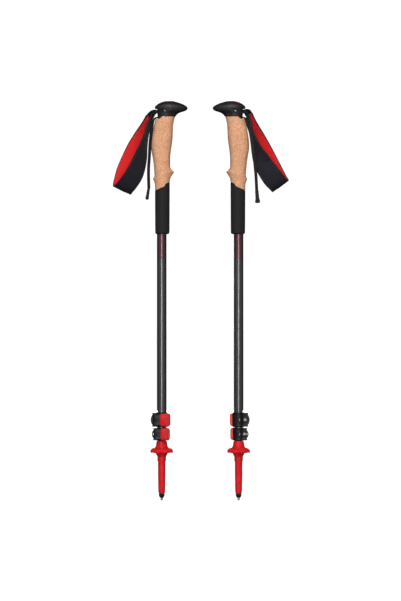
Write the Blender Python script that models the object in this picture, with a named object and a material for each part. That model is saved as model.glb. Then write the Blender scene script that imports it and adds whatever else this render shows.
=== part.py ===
"""A pair of three-section telescoping trekking poles, collapsed and standing on their tips.

Each pole is a lower, a middle and an upper section that slide in one another. Two cam-lever
clamps lock them. The upper section carries a foam sleeve, a cork grip and a beaked knob, and a
padded wrist strap hangs from a slot in the back of the knob.

Lengths in this file are millimetres, and finish() scales every mesh to metres. In a pole's own
frame +X is the way the beak points, the levers are on the -Y side and z = 0 is the ground. The
left pole's tip is the origin. The right pole is the left one turned half a turn about Z, with a
mirrored strap.
"""

import math

import bmesh
import bpy
from mathutils import Matrix, Vector

MM = 0.001
GAP = 0.3
SIDES = 20
OVAL_SIDES = 24

# Pair
POLE_SPACING = 132.0
POLES = {"left": 0.0, "right": math.pi}

# Tubes, as outer and inner radius, and their heights when collapsed
UPPER_R, UPPER_BORE = 8.25, 7.5
MIDDLE_R, MIDDLE_BORE = 7.0, 6.3
LOWER_R, LOWER_BORE = 6.0, 5.3
UPPER_TOP = 654.0
MIDDLE_TOP = 556.0
LOWER_TOP = 526.0
LOWER_END = 80.3
BUSH_PLUG = 12.0
BUSH_FLANGE = 4.0
BUSH_BORE = 2.5

# Tip and basket
CARBIDE_R = 1.9
CARBIDE_FACE_R = 1.5
CARBIDE_LENGTH = 7.5
FERRULE_BOTTOM, FERRULE_TOP = 4.3, 11.3
FERRULE_R = 4.9
FERRULE_STEM_R, FERRULE_STEM_TOP = 2.5, 20.7
FLEX_TIP_R = 6.3
FLEX_SOCKET_R = 7.4
FLEX_SOCKET_BOTTOM, FLEX_TIP_TOP = 79.0, 101.0
BASKET_BOTTOM, BASKET_TOP = 67.0, 101.7
BASKET_R = 19.6
# Outline of the basket from the bottom up, as (r, z)
BASKET_BOWL = [(7.4, 75.4), (8.8, 77.4), (10.0, 79.8), (10.6, 81.4)]
BASKET_SKIRT = [(16.8, 82.4), (18.8, 81.6), (19.6, 83.0), (19.4, 85.4), (17.6, 88.0), (14.4, 89.6)]
BASKET_SLEEVE = [(11.2, 90.4), (10.3, 92.6), (9.5, 96.4), (8.8, 99.4)]
BASKET_LOBES = 6
BASKET_NOTCH_R = 3.2

# Clamps. Heights are from the clamp's own bottom, and x and y are in the pole's frame.
STOP_HEIGHT = 3.0
CLAMPS = {
    "lower": {"bottom": 102.3, "height": 22.5, "tube": MIDDLE_R, "inner": LOWER_R, "collar": 9.3,
              "reach": 17.0, "ear": 6.8, "pivot": (-10.3, -10.5), "barrel": 3.3,
              "cover": (-2.0, 14.2), "cover_height": 20.9, "wrap": 2.0,
              "window": True},
    "upper": {"bottom": 125.7, "height": 25.1, "tube": UPPER_R, "inner": MIDDLE_R, "collar": 10.4,
              "reach": 19.0, "ear": 7.3, "pivot": (-11.4, -11.3), "barrel": 3.5,
              "cover": (-3.4, 15.1), "cover_height": 22.2, "wrap": 3.0,
              "window": False},
}
EAR_SLOT = 1.6
WINDOW_X, WINDOW_HALF = (-15.4, -13.6), 2.8
PIN_R = 1.8
BOSS_R, BOSS_HEIGHT = 3.0, 4.0
SCREW_R = 1.4
SCREW_HEAD_R, SCREW_HEAD_HEIGHT = 3.15, 2.4
COVER_THICKNESS = 1.9
COVER_CORNER = 4.2
# Rounded outer edge of a lever cover, as depth below its face and inset
COVER_EDGE = [(-0.5, 2.1), (0.0, 1.7), (0.7, 0.5), (1.5, 0.0), (40.0, 0.0)]
NOTCH_X, NOTCH_HEIGHT = -6.9, 3.6

# Foam sleeve and cork grip. The joint line between them is a stepped slant, as (x, z).
FOAM_BOTTOM, FOAM_BOTTOM_R, FOAM_TOP_R = 456.8, 12.1, 12.4
FOAM_X = 0.9
JOINT_LINE = [(-30.0, 523.9), (5.0, 538.4), (7.2, 542.8), (30.0, 552.9)]
GRIP_TOP_LINE = [(-30.0, 653.6), (-3.5, 654.4), (1.0, 658.2), (40.0, 658.2)]
# (z, back x, front x, half width)
GRIP_SECTIONS = [
    (524, -11.4, 13.2, 12.2), (542, -11.6, 13.7, 12.4), (558, -12.4, 14.2, 12.8),
    (577, -13.9, 14.5, 13.6), (590, -15.8, 14.7, 14.5), (605, -18.2, 16.4, 15.4),
    (620, -17.4, 18.5, 15.6), (636, -14.8, 19.2, 15.0), (648, -12.1, 20.2, 14.0),
    (661, -9.2, 23.4, 13.4),
]
# Spurs: height of the peak, reach above it, reach below it, how far it stands out
FRONT_SPUR = (563.4, 9.0, 14.0, 7.3)
BACK_SPUR = (551.4, 7.0, 10.0, 3.0)

# Knob. (z, back x, front x, half width)
KNOB_SECTIONS = [
    (653.0, -7.4, 22.6, 12.9), (658.0, -7.2, 23.2, 13.2), (660.5, -7.2, 25.0, 13.5),
    (663.6, -7.4, 28.0, 14.1), (665.6, -7.7, 32.0, 14.8), (666.9, -8.0, 36.2, 15.4),
    (668.2, -8.5, 40.2, 15.9), (669.6, -9.3, 42.6, 16.4), (672.4, -11.4, 44.6, 17.1),
    (674.6, -12.0, 44.2, 17.2), (676.6, -11.0, 42.2, 16.8), (678.2, -9.2, 39.8, 16.0),
    (680.0, -6.5, 36.2, 14.8), (681.7, -3.4, 32.0, 13.0), (683.1, -0.2, 27.8, 10.8),
    (684.2, 3.6, 23.4, 8.0), (684.8, 6.6, 19.8, 5.2), (685.0, 9.6, 16.2, 2.0),
]
SPIGOT_R, SPIGOT_BOTTOM = 7.2, 628.0
INLAY_CENTRE, INLAY_HALF_LENGTH, INLAY_HALF_WIDTH = 7.0, 14.5, 8.5
INLAY_RISE, INLAY_DEPTH = 0.4, 1.0
STRAP_PIN_X, STRAP_PIN_Z, STRAP_PIN_R = 5.7, 668.0, 1.6
SLOT_LIP_X = -8.2
SLOT_HALF_HEIGHT, SLOT_HALF_WIDTH = 3.8, 8.6
TAIL_SLOT = ((-14.0, -9.6, 656.2), (-3.9, 1.4, 658.2))

# Wrist strap. A row is (y, x and z of the band's back edge, x and z of its front edge), with the
# edges as they are seen along Y. What is left of a band's width lies along Y, with the back edge
# nearer to -Y.
STRAP_HINGE = (-10.0, 0.0, 667.6)
WEBBING_WIDTH, WEBBING_THICKNESS = 15.0, 2.4
WEBBING = {
    "left": [
        (0, -10.2, 668.0, -9.8, 667.2), (0, -13.4, 667.3, -12.0, 665.5),
        (0, -16.6, 665.5, -14.4, 663.2), (0, -19.4, 663.2, -16.8, 660.6),
    ],
    "right": [
        (0, -10.2, 668.0, -9.8, 667.2), (0, -13.2, 668.1, -12.4, 666.3),
        (0, -15.8, 668.2, -14.4, 665.6), (0, -18.2, 668.1, -16.4, 665.1),
    ],
}
PAD_THICKNESS, LINING_THICKNESS = 1.8, 1.1
LINING_MARGIN = 1.0
PAD_END_WIDTH, PAD_WIDTH = 17.0, 33.5
PAD_WIDEST_Z, PAD_END_Z = 562.0, 658.0
PADS = {
    "left": [
        (-1.6, -19.5, 656.8, -15.5, 655.4), (-2.2, -23.6, 647.6, -17.8, 645.8),
        (-5.5, -29.5, 629.0, -23.1, 626.6), (-9.5, -36.1, 611.7, -25.3, 606.0),
        (-13.0, -43.9, 596.0, -25.8, 587.5), (-15.5, -52.9, 578.3, -28.7, 568.0),
        (-15.5, -62.4, 561.8, -34.0, 551.4), (-13.0, -72.4, 548.8, -42.3, 537.9),
        (-8.0, -79.4, 541.5, -49.4, 529.5), (0.0, -82.5, 539.2, -53.1, 525.6),
        (8.0, -83.3, 543.5, -54.4, 529.0), (13.0, -81.8, 552.4, -52.7, 537.5),
        (16.0, -76.8, 571.0, -48.4, 556.5), (16.5, -68.4, 591.0, -43.4, 576.5),
        (14.5, -58.9, 610.7, -37.9, 597.0), (10.5, -47.8, 628.4, -30.6, 616.5),
        (4.6, -34.2, 647.1, -23.4, 639.5), (2.2, -29.1, 655.3, -20.5, 650.0),
        (1.6, -26.1, 661.0, -18.8, 656.8),
    ],
    "right": [
        (-1.6, -18.0, 660.5, -13.6, 657.5), (-2.2, -20.2, 650.5, -15.8, 647.5),
        (-5.5, -24.2, 634.5, -18.8, 631.5), (-9.5, -31.5, 617.0, -21.4, 612.5),
        (-13.0, -41.5, 601.5, -23.2, 594.5), (-15.5, -51.8, 589.2, -25.6, 578.5),
        (-15.5, -61.5, 577.5, -32.0, 562.0), (-13.0, -72.5, 563.5, -43.8, 543.0),
        (-8.0, -81.5, 552.5, -53.5, 533.0), (0.0, -84.9, 549.0, -57.6, 529.6),
        (8.0, -85.2, 552.5, -58.5, 532.5), (13.0, -82.3, 556.8, -55.8, 538.5),
        (16.0, -76.4, 568.4, -49.0, 552.5), (16.5, -66.8, 587.2, -41.5, 573.0),
        (14.5, -58.0, 603.6, -36.0, 591.0), (10.5, -47.4, 622.2, -29.6, 611.8),
        (4.6, -33.9, 643.2, -22.6, 638.0), (2.2, -27.6, 654.2, -19.4, 650.6),
        (1.6, -22.9, 664.8, -17.2, 662.6),
    ],
}

# Strap tail. Its rows are (x, y, z). A negative seen width turns the edge by the grip to -Y.
TAIL_WIDTH, TAIL_THICKNESS = 10.0, 1.4
TAILS = {
    "left": [
        (-4.4, -4.0, 657.2), (-9.0, -4.0, 657.0), (-12.7, -4.0, 655.2), (-14.6, -4.2, 651.0),
        (-16.2, -4.4, 643.0), (-17.4, -4.8, 635.0), (-18.8, -5.0, 624.0), (-20.1, -5.0, 610.0),
        (-21.1, -5.0, 590.0), (-22.4, -5.0, 571.0), (-22.5, -5.0, 554.0), (-22.0, -5.0, 535.0),
    ],
    "right": [
        (-4.4, -4.0, 657.2), (-9.0, -4.0, 657.0), (-12.4, -4.2, 654.6), (-14.0, -5.6, 649.5),
        (-15.8, -8.5, 643.0), (-18.8, -12.4, 634.0), (-22.6, -16.0, 619.8), (-24.6, -18.5, 603.0),
        (-26.5, -21.0, 587.4), (-28.0, -22.6, 571.0), (-29.5, -22.0, 555.0), (-30.8, -21.0, 529.0),
    ],
}
TAIL_SEEN_WIDTH = {"left": -3.8, "right": 3.4}
TAIL_TAB_LENGTH, TAIL_TAB_WIDTH, TAIL_TAB_TILT = 21.4, 11.0, 8.0
TAIL_TAB_HALF_TOP, TAIL_TAB_HALF_END = 2.2, 3.0

# Materials: colour, roughness, metallic
MATERIALS = {
    "carbide": ((0.30, 0.30, 0.31), 0.35, 1.0),
    "black_plastic": ((0.018, 0.018, 0.020), 0.5, 0.0),
    "red_plastic": ((0.62, 0.02, 0.03), 0.4, 0.0),
    "lower_tube": ((0.26, 0.26, 0.27), 0.3, 1.0),
    "upper_tube": ((0.10, 0.09, 0.10), 0.35, 0.6),
    "grey_plastic": ((0.20, 0.20, 0.21), 0.5, 0.0),
    "steel": ((0.62, 0.62, 0.63), 0.3, 1.0),
    "black_steel": ((0.05, 0.05, 0.05), 0.4, 0.9),
    "foam": ((0.020, 0.020, 0.022), 0.9, 0.0),
    "cork": ((0.62, 0.36, 0.20), 0.8, 0.0),
    "knob": ((0.022, 0.020, 0.022), 0.4, 0.0),
    "webbing": ((0.015, 0.015, 0.018), 0.85, 0.0),
    "strap_pad": ((0.020, 0.020, 0.035), 0.9, 0.0),
    "strap_lining": ((0.60, 0.02, 0.03), 0.85, 0.0),
}


# ---------------------------------------------------------------- scene and materials

def clear_scene():
    for obj in list(bpy.data.objects):
        bpy.data.objects.remove(obj, do_unlink=True)


def make_materials():
    made = {}
    for name, (colour, roughness, metallic) in MATERIALS.items():
        material = bpy.data.materials.new(name)
        material.use_nodes = True
        shader = material.node_tree.nodes["Principled BSDF"]
        shader.inputs["Base Color"].default_value = (*colour, 1.0)
        shader.inputs["Roughness"].default_value = roughness
        shader.inputs["Metallic"].default_value = metallic
        made[name] = material
    return made


def make_pole_frame(side, turn):
    frame = bpy.data.objects.new(f"{side}_pole_frame", None)
    frame.location = (POLE_SPACING * MM if side == "right" else 0, 0, 0)
    frame.rotation_euler = (0, 0, turn)
    bpy.context.scene.collection.objects.link(frame)
    return frame


def finish(name, bm, pole, material=None, origin=(0, 0, 0)):
    """Turn a bmesh drawn in the pole's frame into a smooth-shaded object whose origin is given."""
    bmesh.ops.recalc_face_normals(bm, faces=bm.faces)
    bmesh.ops.translate(bm, verts=bm.verts, vec=-Vector(origin))
    bmesh.ops.scale(bm, verts=bm.verts, vec=(MM, MM, MM))
    mesh = bpy.data.meshes.new(name)
    bm.to_mesh(mesh)
    bm.free()
    mesh.shade_smooth()
    mesh.set_sharp_from_angle(angle=math.radians(35))
    if material:
        mesh.materials.append(material)
    obj = bpy.data.objects.new(name, mesh)
    bpy.context.scene.collection.objects.link(obj)
    obj.parent = pole
    obj.location = Vector(origin) * MM
    return obj


def boolean(target, tool_bm, operation="DIFFERENCE"):
    """Cut, join or trim an object with a hidden tool drawn in the same frame."""
    label = f"{target.name}_tool_{len(target.modifiers)}"
    tool = finish(label, tool_bm, target.parent)
    tool.hide_render = True
    tool.display_type = "WIRE"
    modifier = target.modifiers.new(label, "BOOLEAN")
    modifier.object = tool
    modifier.operation = operation
    modifier.solver = "EXACT"


# ---------------------------------------------------------------- shape builders

def turned(profile, sides=SIDES):
    """Spin an (r, z) outline about Z. Off the axis it closes on itself; on the axis it is open."""
    bm = bmesh.new()
    rim = [bm.verts.new((r, 0, z)) for r, z in profile]
    on_axis = profile[0][0] == 0
    ends = rim[1:] if on_axis else rim[1:] + rim[:1]
    edges = [bm.edges.new(pair) for pair in zip(rim, ends)]
    bmesh.ops.spin(bm, geom=rim + edges, axis=(0, 0, 1), cent=(0, 0, 0), angle=math.tau,
                   steps=sides, use_merge=True)
    bmesh.ops.remove_doubles(bm, verts=bm.verts, dist=0.001)
    return bm


def rod(radius, bottom, top, centre=(0, 0), sides=SIDES):
    bm = turned([(0, bottom), (radius, bottom), (radius, top), (0, top)], sides)
    bmesh.ops.translate(bm, verts=bm.verts, vec=(centre[0], centre[1], 0))
    return bm


def cross_rod(radius, start, end, x, z, sides=16):
    """A rod along Y from start to end."""
    bm = turned([(0, start), (radius, start), (radius, end), (0, end)], sides)
    bmesh.ops.rotate(bm, verts=bm.verts, matrix=Matrix.Rotation(-math.pi / 2, 3, "X"))
    bmesh.ops.translate(bm, verts=bm.verts, vec=(x, 0, z))
    return bm


def prism(outline, low, high, along="Z"):
    """Extrude a flat outline. Its points are (x, y) for a prism along Z and (x, z) along Y."""
    bm = bmesh.new()
    if along == "Z":
        base = [bm.verts.new((a, b, low)) for a, b in outline]
        travel = Vector((0, 0, high - low))
    else:
        base = [bm.verts.new((a, low, b)) for a, b in outline]
        travel = Vector((0, high - low, 0))
    face = bm.faces.new(base)
    side = bmesh.ops.extrude_face_region(bm, geom=[face])["geom"]
    bmesh.ops.translate(bm, vec=travel, verts=[v for v in side if isinstance(v, bmesh.types.BMVert)])
    return bm


def block(low, high):
    corners = [(low[0], low[1]), (high[0], low[1]), (high[0], high[1]), (low[0], high[1])]
    return prism(corners, low[2], high[2])


def arc(centre, radius, start, end, steps):
    """Points along an arc, with angles in degrees."""
    angles = [math.radians(start + (end - start) * i / steps) for i in range(steps + 1)]
    return [(centre[0] + radius * math.cos(a), centre[1] + radius * math.sin(a)) for a in angles]


def rounded_rectangle(x0, x1, z0, z1, radius, steps=4):
    outline = arc((x0 + radius, z0 + radius), radius, 180, 270, steps)
    outline += arc((x1 - radius, z0 + radius), radius, 270, 360, steps)
    outline += arc((x1 - radius, z1 - radius), radius, 0, 90, steps)
    outline += arc((x0 + radius, z1 - radius), radius, 90, 180, steps)
    return outline


def lofted(rings, ruled=False):
    """Skin equal rings of points and cap both ends. Ruled splits a band's faces all one way."""
    bm = bmesh.new()
    loops = [[bm.verts.new(point) for point in ring] for ring in rings]
    count = len(loops[0])
    for lower, upper in zip(loops, loops[1:]):
        for i in range(count):
            j = (i + 1) % count
            corners = (lower[i], lower[j], upper[j], upper[i])
            if ruled and i < count // 2:
                bm.faces.new((corners[0], corners[1], corners[2]))
                bm.faces.new((corners[0], corners[2], corners[3]))
            elif ruled:
                bm.faces.new((corners[0], corners[1], corners[3]))
                bm.faces.new((corners[1], corners[2], corners[3]))
            else:
                bm.faces.new(corners)
    bm.faces.new(loops[0])
    bm.faces.new(loops[-1])
    return bm


def smooth_between(stations, steps):
    """Catmull-Rom curve through rows of numbers, with a number of steps in each span."""
    rows = [Vector(row) for row in stations]
    rows = [2 * rows[0] - rows[1], *rows, 2 * rows[-1] - rows[-2]]
    curve = []
    for a, b, c, d in zip(rows, rows[1:], rows[2:], rows[3:]):
        for i in range(steps):
            t = i / steps
            curve.append(0.5 * (2 * b + (c - a) * t + (2 * a - 5 * b + 4 * c - d) * t ** 2
                                + (3 * b - a - 3 * c + d) * t ** 3))
    curve.append(rows[-2])
    return curve


def oval(z, back, front, half_width, sides, square=2.3, beak=0.0):
    """A rounded section at height z. A beak value narrows its front half."""
    centre = (back + front) / 2
    reach = (front - back) / 2
    ring = []
    for i in range(sides):
        angle = math.tau * i / sides
        c = math.cos(angle)
        s = math.sin(angle)
        x = math.copysign(abs(c) ** (2 / square), c)
        y = math.copysign(abs(s) ** (2 / square), s)
        ring.append((centre + reach * x, half_width * y * (1 - beak * max(0, x)), z))
    return ring


def band(rows, width_at, thickness, hand, shift=0.0, margin=0.0):
    """A flat band between two edges, as in the strap tables. Hand -1 mirrors it in Y.

    Shift moves the band's middle outward from the rows, and margin narrows it on both sides.
    """
    rings = []
    last = len(rows) - 1
    centres = [Vector(((x0 + x1) / 2, y, (z0 + z1) / 2)) for y, x0, z0, x1, z1 in rows]
    for i, (_, x0, z0, x1, z1) in enumerate(rows):
        seen = math.hypot(x0 - x1, z0 - z1)
        width = max(width_at(centres[i]), seen)
        across = Vector((x0 - x1, -math.sqrt(width ** 2 - seen ** 2), z0 - z1)).normalized()
        ahead = centres[min(i + 1, last)] - centres[max(i - 1, 0)]
        outward = across.cross(ahead).normalized()
        across *= width / 2 - margin
        outer = centres[i] + outward * (shift + thickness / 2)
        inner = centres[i] + outward * (shift - thickness / 2)
        corners = [outer + across, outer - across, inner - across, inner + across]
        rings.append([(p.x, hand * p.y, p.z) for p in corners])
    return lofted(rings, ruled=True)


# ---------------------------------------------------------------- sections and tip

def make_tube(name, pole, material, radius, bore, bottom, top):
    outline = [(radius, bottom), (radius, top), (bore, top), (bore, bottom)]
    return finish(name, turned(outline), pole, material)


def make_bush(name, pole, material, plug_r, flange_r, tube_top):
    """Plug in the top of a tube, with a flange that guides it in the tube outside it."""
    outline = [(BUSH_BORE, tube_top - BUSH_PLUG), (plug_r, tube_top - BUSH_PLUG),
               (plug_r, tube_top + GAP), (flange_r, tube_top + GAP),
               (flange_r, tube_top + BUSH_FLANGE), (BUSH_BORE, tube_top + BUSH_FLANGE)]
    return finish(name, turned(outline), pole, material)


def make_tip(side, pole, materials):
    carbide = [(0, 0), (CARBIDE_FACE_R, 0), (CARBIDE_R, 0.8), (CARBIDE_R, CARBIDE_LENGTH),
               (0, CARBIDE_LENGTH)]
    finish(f"{side}_carbide_tip", turned(carbide, 16), pole, materials["carbide"])
    seat = CARBIDE_R + GAP
    ferrule = [(0, CARBIDE_LENGTH + GAP), (seat, CARBIDE_LENGTH + GAP), (seat, FERRULE_BOTTOM),
               (seat + 0.9, FERRULE_BOTTOM), (FERRULE_R, FERRULE_BOTTOM + 3.4),
               (FERRULE_R, FERRULE_TOP), (FERRULE_STEM_R, FERRULE_TOP),
               (FERRULE_STEM_R, FERRULE_STEM_TOP), (0, FERRULE_STEM_TOP)]
    finish(f"{side}_tip_ferrule", turned(ferrule), pole, materials["black_plastic"])
    hole = FERRULE_STEM_R + GAP
    socket = LOWER_R + GAP
    flex = [(0, FERRULE_STEM_TOP + GAP), (hole, FERRULE_STEM_TOP + GAP), (hole, FERRULE_TOP + GAP),
            (5.0, FERRULE_TOP + GAP), (5.7, 17), (6.0, 40), (FLEX_TIP_R, 62),
            (FLEX_TIP_R, FLEX_SOCKET_BOTTOM - 1), (FLEX_SOCKET_R, FLEX_SOCKET_BOTTOM),
            (FLEX_SOCKET_R, FLEX_TIP_TOP), (socket, FLEX_TIP_TOP), (socket, LOWER_END - GAP),
            (0, LOWER_END - GAP)]
    finish(f"{side}_flex_tip", turned(flex), pole, materials["red_plastic"])


def make_basket(side, pole, material):
    """Stepped red basket with a notched, drooping skirt."""
    sleeve = FLEX_TIP_R + GAP
    bore = FLEX_SOCKET_R + GAP
    step = FLEX_SOCKET_BOTTOM - 1
    outline = [(sleeve, BASKET_BOTTOM), (7.4, BASKET_BOTTOM), *BASKET_BOWL, *BASKET_SKIRT,
               *BASKET_SLEEVE, (8.4, BASKET_TOP), (bore, BASKET_TOP), (bore, step - GAP),
               (sleeve, step - GAP)]
    basket = finish(f"{side}_basket", turned(outline), pole, material)
    for i in range(BASKET_LOBES):
        angle = math.tau * (i + 0.5) / BASKET_LOBES
        place = (BASKET_R * math.cos(angle), BASKET_R * math.sin(angle))
        boolean(basket, rod(BASKET_NOTCH_R, 78, 90, place, 10))


# ---------------------------------------------------------------- clamps

def ear_outline(reach, height):
    """Side view of the clamp's ears: two flanges with a rounded lug between them."""
    lower_half = [(-5.0, 0.8), (-reach + 2.6, 0.8), (-reach + 2.4, 2.8), (-reach + 4.2, 3.6),
                  (-reach + 2.0, 5.0), (-reach, height / 2 - 1.6)]
    upper_half = [(x, height - z) for x, z in reversed(lower_half)]
    return lower_half + upper_half


def make_collar(name, pole, material, spec):
    bottom = spec["bottom"]
    top = bottom + spec["height"]
    middle = (bottom + top) / 2
    collar_r = spec["collar"]
    pivot_x = spec["pivot"][0]
    body = [(0, bottom), (collar_r - 1, bottom), (collar_r, bottom + 1), (collar_r, top - 1),
            (collar_r - 1, top), (0, top)]
    collar = finish(name, turned(body), pole, material)
    outline = [(x, bottom + z) for x, z in ear_outline(spec["reach"], spec["height"])]
    boolean(collar, prism(outline, -spec["ear"], spec["ear"], "Y"), "UNION")
    boolean(collar, rod(spec["tube"] + GAP, bottom + STOP_HEIGHT, top + 5))
    boolean(collar, rod(spec["inner"] + GAP, bottom - 5, bottom + STOP_HEIGHT + 1))
    half_slot = EAR_SLOT / 2
    boolean(collar, block((-25, -half_slot, bottom - 5), (-5, half_slot, top + 5)))
    boolean(collar, cross_rod(SCREW_R + GAP, -20, 20, pivot_x, middle, 12))
    boolean(collar, block((-2.5, spec["tube"] - 1, middle - 2.4), (-0.5, 20, middle + 2.4)))
    if spec["window"]:
        boolean(collar, block((WINDOW_X[0], -20, middle - WINDOW_HALF),
                              (WINDOW_X[1], 20, middle + WINDOW_HALF)))


def make_pin_and_screw(prefix, pole, materials, spec):
    """Upright pivot pin with a boss in its middle, and the tension screw that ends in the boss."""
    middle = spec["bottom"] + spec["height"] / 2
    reach = spec["cover_height"] / 2 - 2.6
    half = BOSS_HEIGHT / 2
    pivot_x, pivot_y = spec["pivot"]
    outline = [(0, middle - reach), (PIN_R, middle - reach), (PIN_R, middle - half),
               (BOSS_R, middle - half), (BOSS_R, middle + half), (PIN_R, middle + half),
               (PIN_R, middle + reach), (0, middle + reach)]
    bm = turned(outline, 12)
    bmesh.ops.translate(bm, verts=bm.verts, vec=(pivot_x, pivot_y, 0))
    pin = finish(f"{prefix}_pivot_pin", bm, pole, materials["black_steel"])
    boolean(pin, cross_rod(SCREW_R + GAP, pivot_y + 1, pivot_y + 6, pivot_x, middle, 12))
    head = spec["ear"] + GAP
    head_top = head + SCREW_HEAD_HEIGHT
    outline = [(0, pivot_y + 1 + GAP), (SCREW_R, pivot_y + 1 + GAP), (SCREW_R, head),
               (SCREW_HEAD_R, head), (SCREW_HEAD_R, head_top - 0.5),
               (SCREW_HEAD_R - 0.6, head_top), (0, head_top)]
    bm = turned(outline, 12)
    bmesh.ops.rotate(bm, verts=bm.verts, matrix=Matrix.Rotation(-math.pi / 2, 3, "X"))
    bmesh.ops.translate(bm, verts=bm.verts, vec=(pivot_x, 0, middle))
    screw = finish(f"{prefix}_tension_screw", bm, pole, materials["steel"])
    drive = block((pivot_x - 2.2, head_top - 0.8, middle - 0.5),
                  (pivot_x + 2.2, head_top + 1, middle + 0.5))
    boolean(screw, drive)


def make_lever(prefix, pole, materials, spec):
    """Black cam base on the pivot pin, and the red cover that the hand pulls."""
    middle = spec["bottom"] + spec["height"] / 2
    pivot = spec["pivot"]
    origin = (*pivot, middle)
    barrel = spec["barrel"]
    face = pivot[1] - barrel
    hug = spec["collar"] + 0.5
    arm_end = spec["cover"][1] - 7.6
    end_angle = -math.degrees(math.acos(arm_end / hug))
    arm_half = spec["cover_height"] / 2 - 2.2
    outline = arc(pivot, barrel, 70, 270, 10)
    outline += [(arm_end - 1.5, face), (arm_end, face + 1.5)]
    outline += arc((0, 0), hug, end_angle, -127, 7)
    cam = finish(f"{prefix}_lever_cam", prism(outline, middle - arm_half, middle + arm_half),
                 pole, materials["black_plastic"], origin)
    gap_half = BOSS_HEIGHT / 2 + GAP
    boolean(cam, rod(barrel + 0.9, middle - gap_half, middle + gap_half, pivot, 20))
    boolean(cam, rod(PIN_R + GAP, middle - 20, middle + 20, pivot, 16))

    x0, x1 = spec["cover"]
    inside = face - GAP
    outside = inside - COVER_THICKNESS
    lip = spec["wrap"]
    shell = hug + GAP
    shell_end = math.degrees(math.asin(lip / shell))
    start_angle = -math.degrees(math.acos((arm_end + GAP) / shell))
    outline = [(x0, inside), (x0, outside + 0.6), (x0 + 0.8, outside), (x1 - 6.5, outside)]
    outline += arc((x1 - 6.5, outside + 6.5), 6.5, 285, 360, 5)
    outline += [(x1, lip - 1.2), (x1 - 1.2, lip)]
    outline += arc((0, 0), shell, shell_end, start_angle, 5)
    outline += [(arm_end + GAP, inside)]
    half = spec["cover_height"] / 2
    cover = finish(f"{prefix}_lever_cover", prism(outline, middle - half, middle + half),
                   pole, materials["red_plastic"], origin)
    rings = []
    for depth, inset in COVER_EDGE:
        ring = rounded_rectangle(x0 - 0.2 + inset, x1 + 0.2 - inset, middle - half + inset,
                                 middle + half - inset, COVER_CORNER - inset)
        rings.append([(x, outside + depth, z) for x, z in ring])
    boolean(cover, lofted(rings), "INTERSECT")


# ---------------------------------------------------------------- grip

def spur(z, shape):
    peak, above, below, rise = shape
    reach = above if z > peak else below
    near = max(0.0, 1 - abs(z - peak) / reach)
    return rise * near ** 1.5


def above_line(line, top, gap):
    return [(x, z + gap) for x, z in line] + [(line[-1][0], top), (line[0][0], top)]


def below_line(line, bottom, gap):
    return [(x, z - gap) for x, z in line] + [(line[-1][0], bottom), (line[0][0], bottom)]


def make_foam(side, pole, material):
    top = JOINT_LINE[-1][1]
    outline = [(0, FOAM_BOTTOM), (FOAM_BOTTOM_R - 2, FOAM_BOTTOM),
               (FOAM_BOTTOM_R - 0.6, FOAM_BOTTOM + 0.8), (FOAM_BOTTOM_R, FOAM_BOTTOM + 2.5),
               (FOAM_TOP_R, 530), (FOAM_TOP_R, top), (0, top)]
    body = turned(outline)
    bmesh.ops.translate(body, verts=body.verts, vec=(FOAM_X, 0, 0))
    foam = finish(f"{side}_foam_sleeve", body, pole, material)
    boolean(foam, rod(UPPER_R + GAP, FOAM_BOTTOM - 5, top + 5))
    boolean(foam, prism(above_line(JOINT_LINE, top + 10, -GAP), -30, 30, "Y"))


def make_grip(side, pole, material):
    """Cork grip, with a finger spur in front and a small one behind."""
    rings = []
    for z, back, front, half_width in smooth_between(GRIP_SECTIONS, 2):
        ring = oval(z, back, front, half_width, OVAL_SIDES)
        front_rise = spur(z, FRONT_SPUR)
        back_rise = spur(z, BACK_SPUR)
        for i, (x, y, height) in enumerate(ring):
            forward = math.cos(math.tau * i / OVAL_SIDES)
            push = front_rise * max(0, forward) ** 3 - back_rise * max(0, -forward) ** 3
            ring[i] = (x + push, y, height)
        rings.append(ring)
    grip = finish(f"{side}_cork_grip", lofted(rings), pole, material)
    boolean(grip, rod(UPPER_R + GAP, 500, 700))
    boolean(grip, prism(below_line(JOINT_LINE, 500, -GAP / 2), -30, 30, "Y"))
    boolean(grip, prism(above_line(GRIP_TOP_LINE, 700, 0), -30, 30, "Y"))


def knob_ring(z):
    """Section of the knob at a height, read from the table with straight lines between rows."""
    for low, high in zip(KNOB_SECTIONS, KNOB_SECTIONS[1:]):
        if z <= high[0]:
            t = (z - low[0]) / (high[0] - low[0])
            return [a + (b - a) * t for a, b in zip(low, high)]
    return list(KNOB_SECTIONS[-1])


def crown_height(x, y):
    """Height of the knob's crown over a point, found by halving."""
    low, high = 674.0, 685.0
    for _ in range(20):
        z = (low + high) / 2
        _, back, front, half_width = knob_ring(z)
        centre = (back + front) / 2
        reach = (front - back) / 2
        inside = (abs(x - centre) / reach) ** 2.2 + (abs(y) / half_width) ** 2.2 < 1
        low, high = (z, high) if inside else (low, z)
    return low


def crown_patch(grow, above, below):
    """An oval plate that follows the crown, from so far above it to so far below it."""
    rings = []
    levels = [(1.0, -below), (1.0, above), (0.66, above), (0.33, above)]
    for scale, offset in levels:
        ring = []
        for i in range(20):
            angle = math.tau * i / 20
            x = INLAY_CENTRE + (INLAY_HALF_LENGTH + grow) * scale * math.cos(angle)
            y = (INLAY_HALF_WIDTH + grow) * scale * math.sin(angle)
            ring.append((x, y, crown_height(x, y) + offset))
        rings.append(ring)
    inner = [[(x, y, z - above - below) for x, y, z in ring] for ring in rings[2:]]
    return lofted(list(reversed(inner)) + rings)


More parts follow.
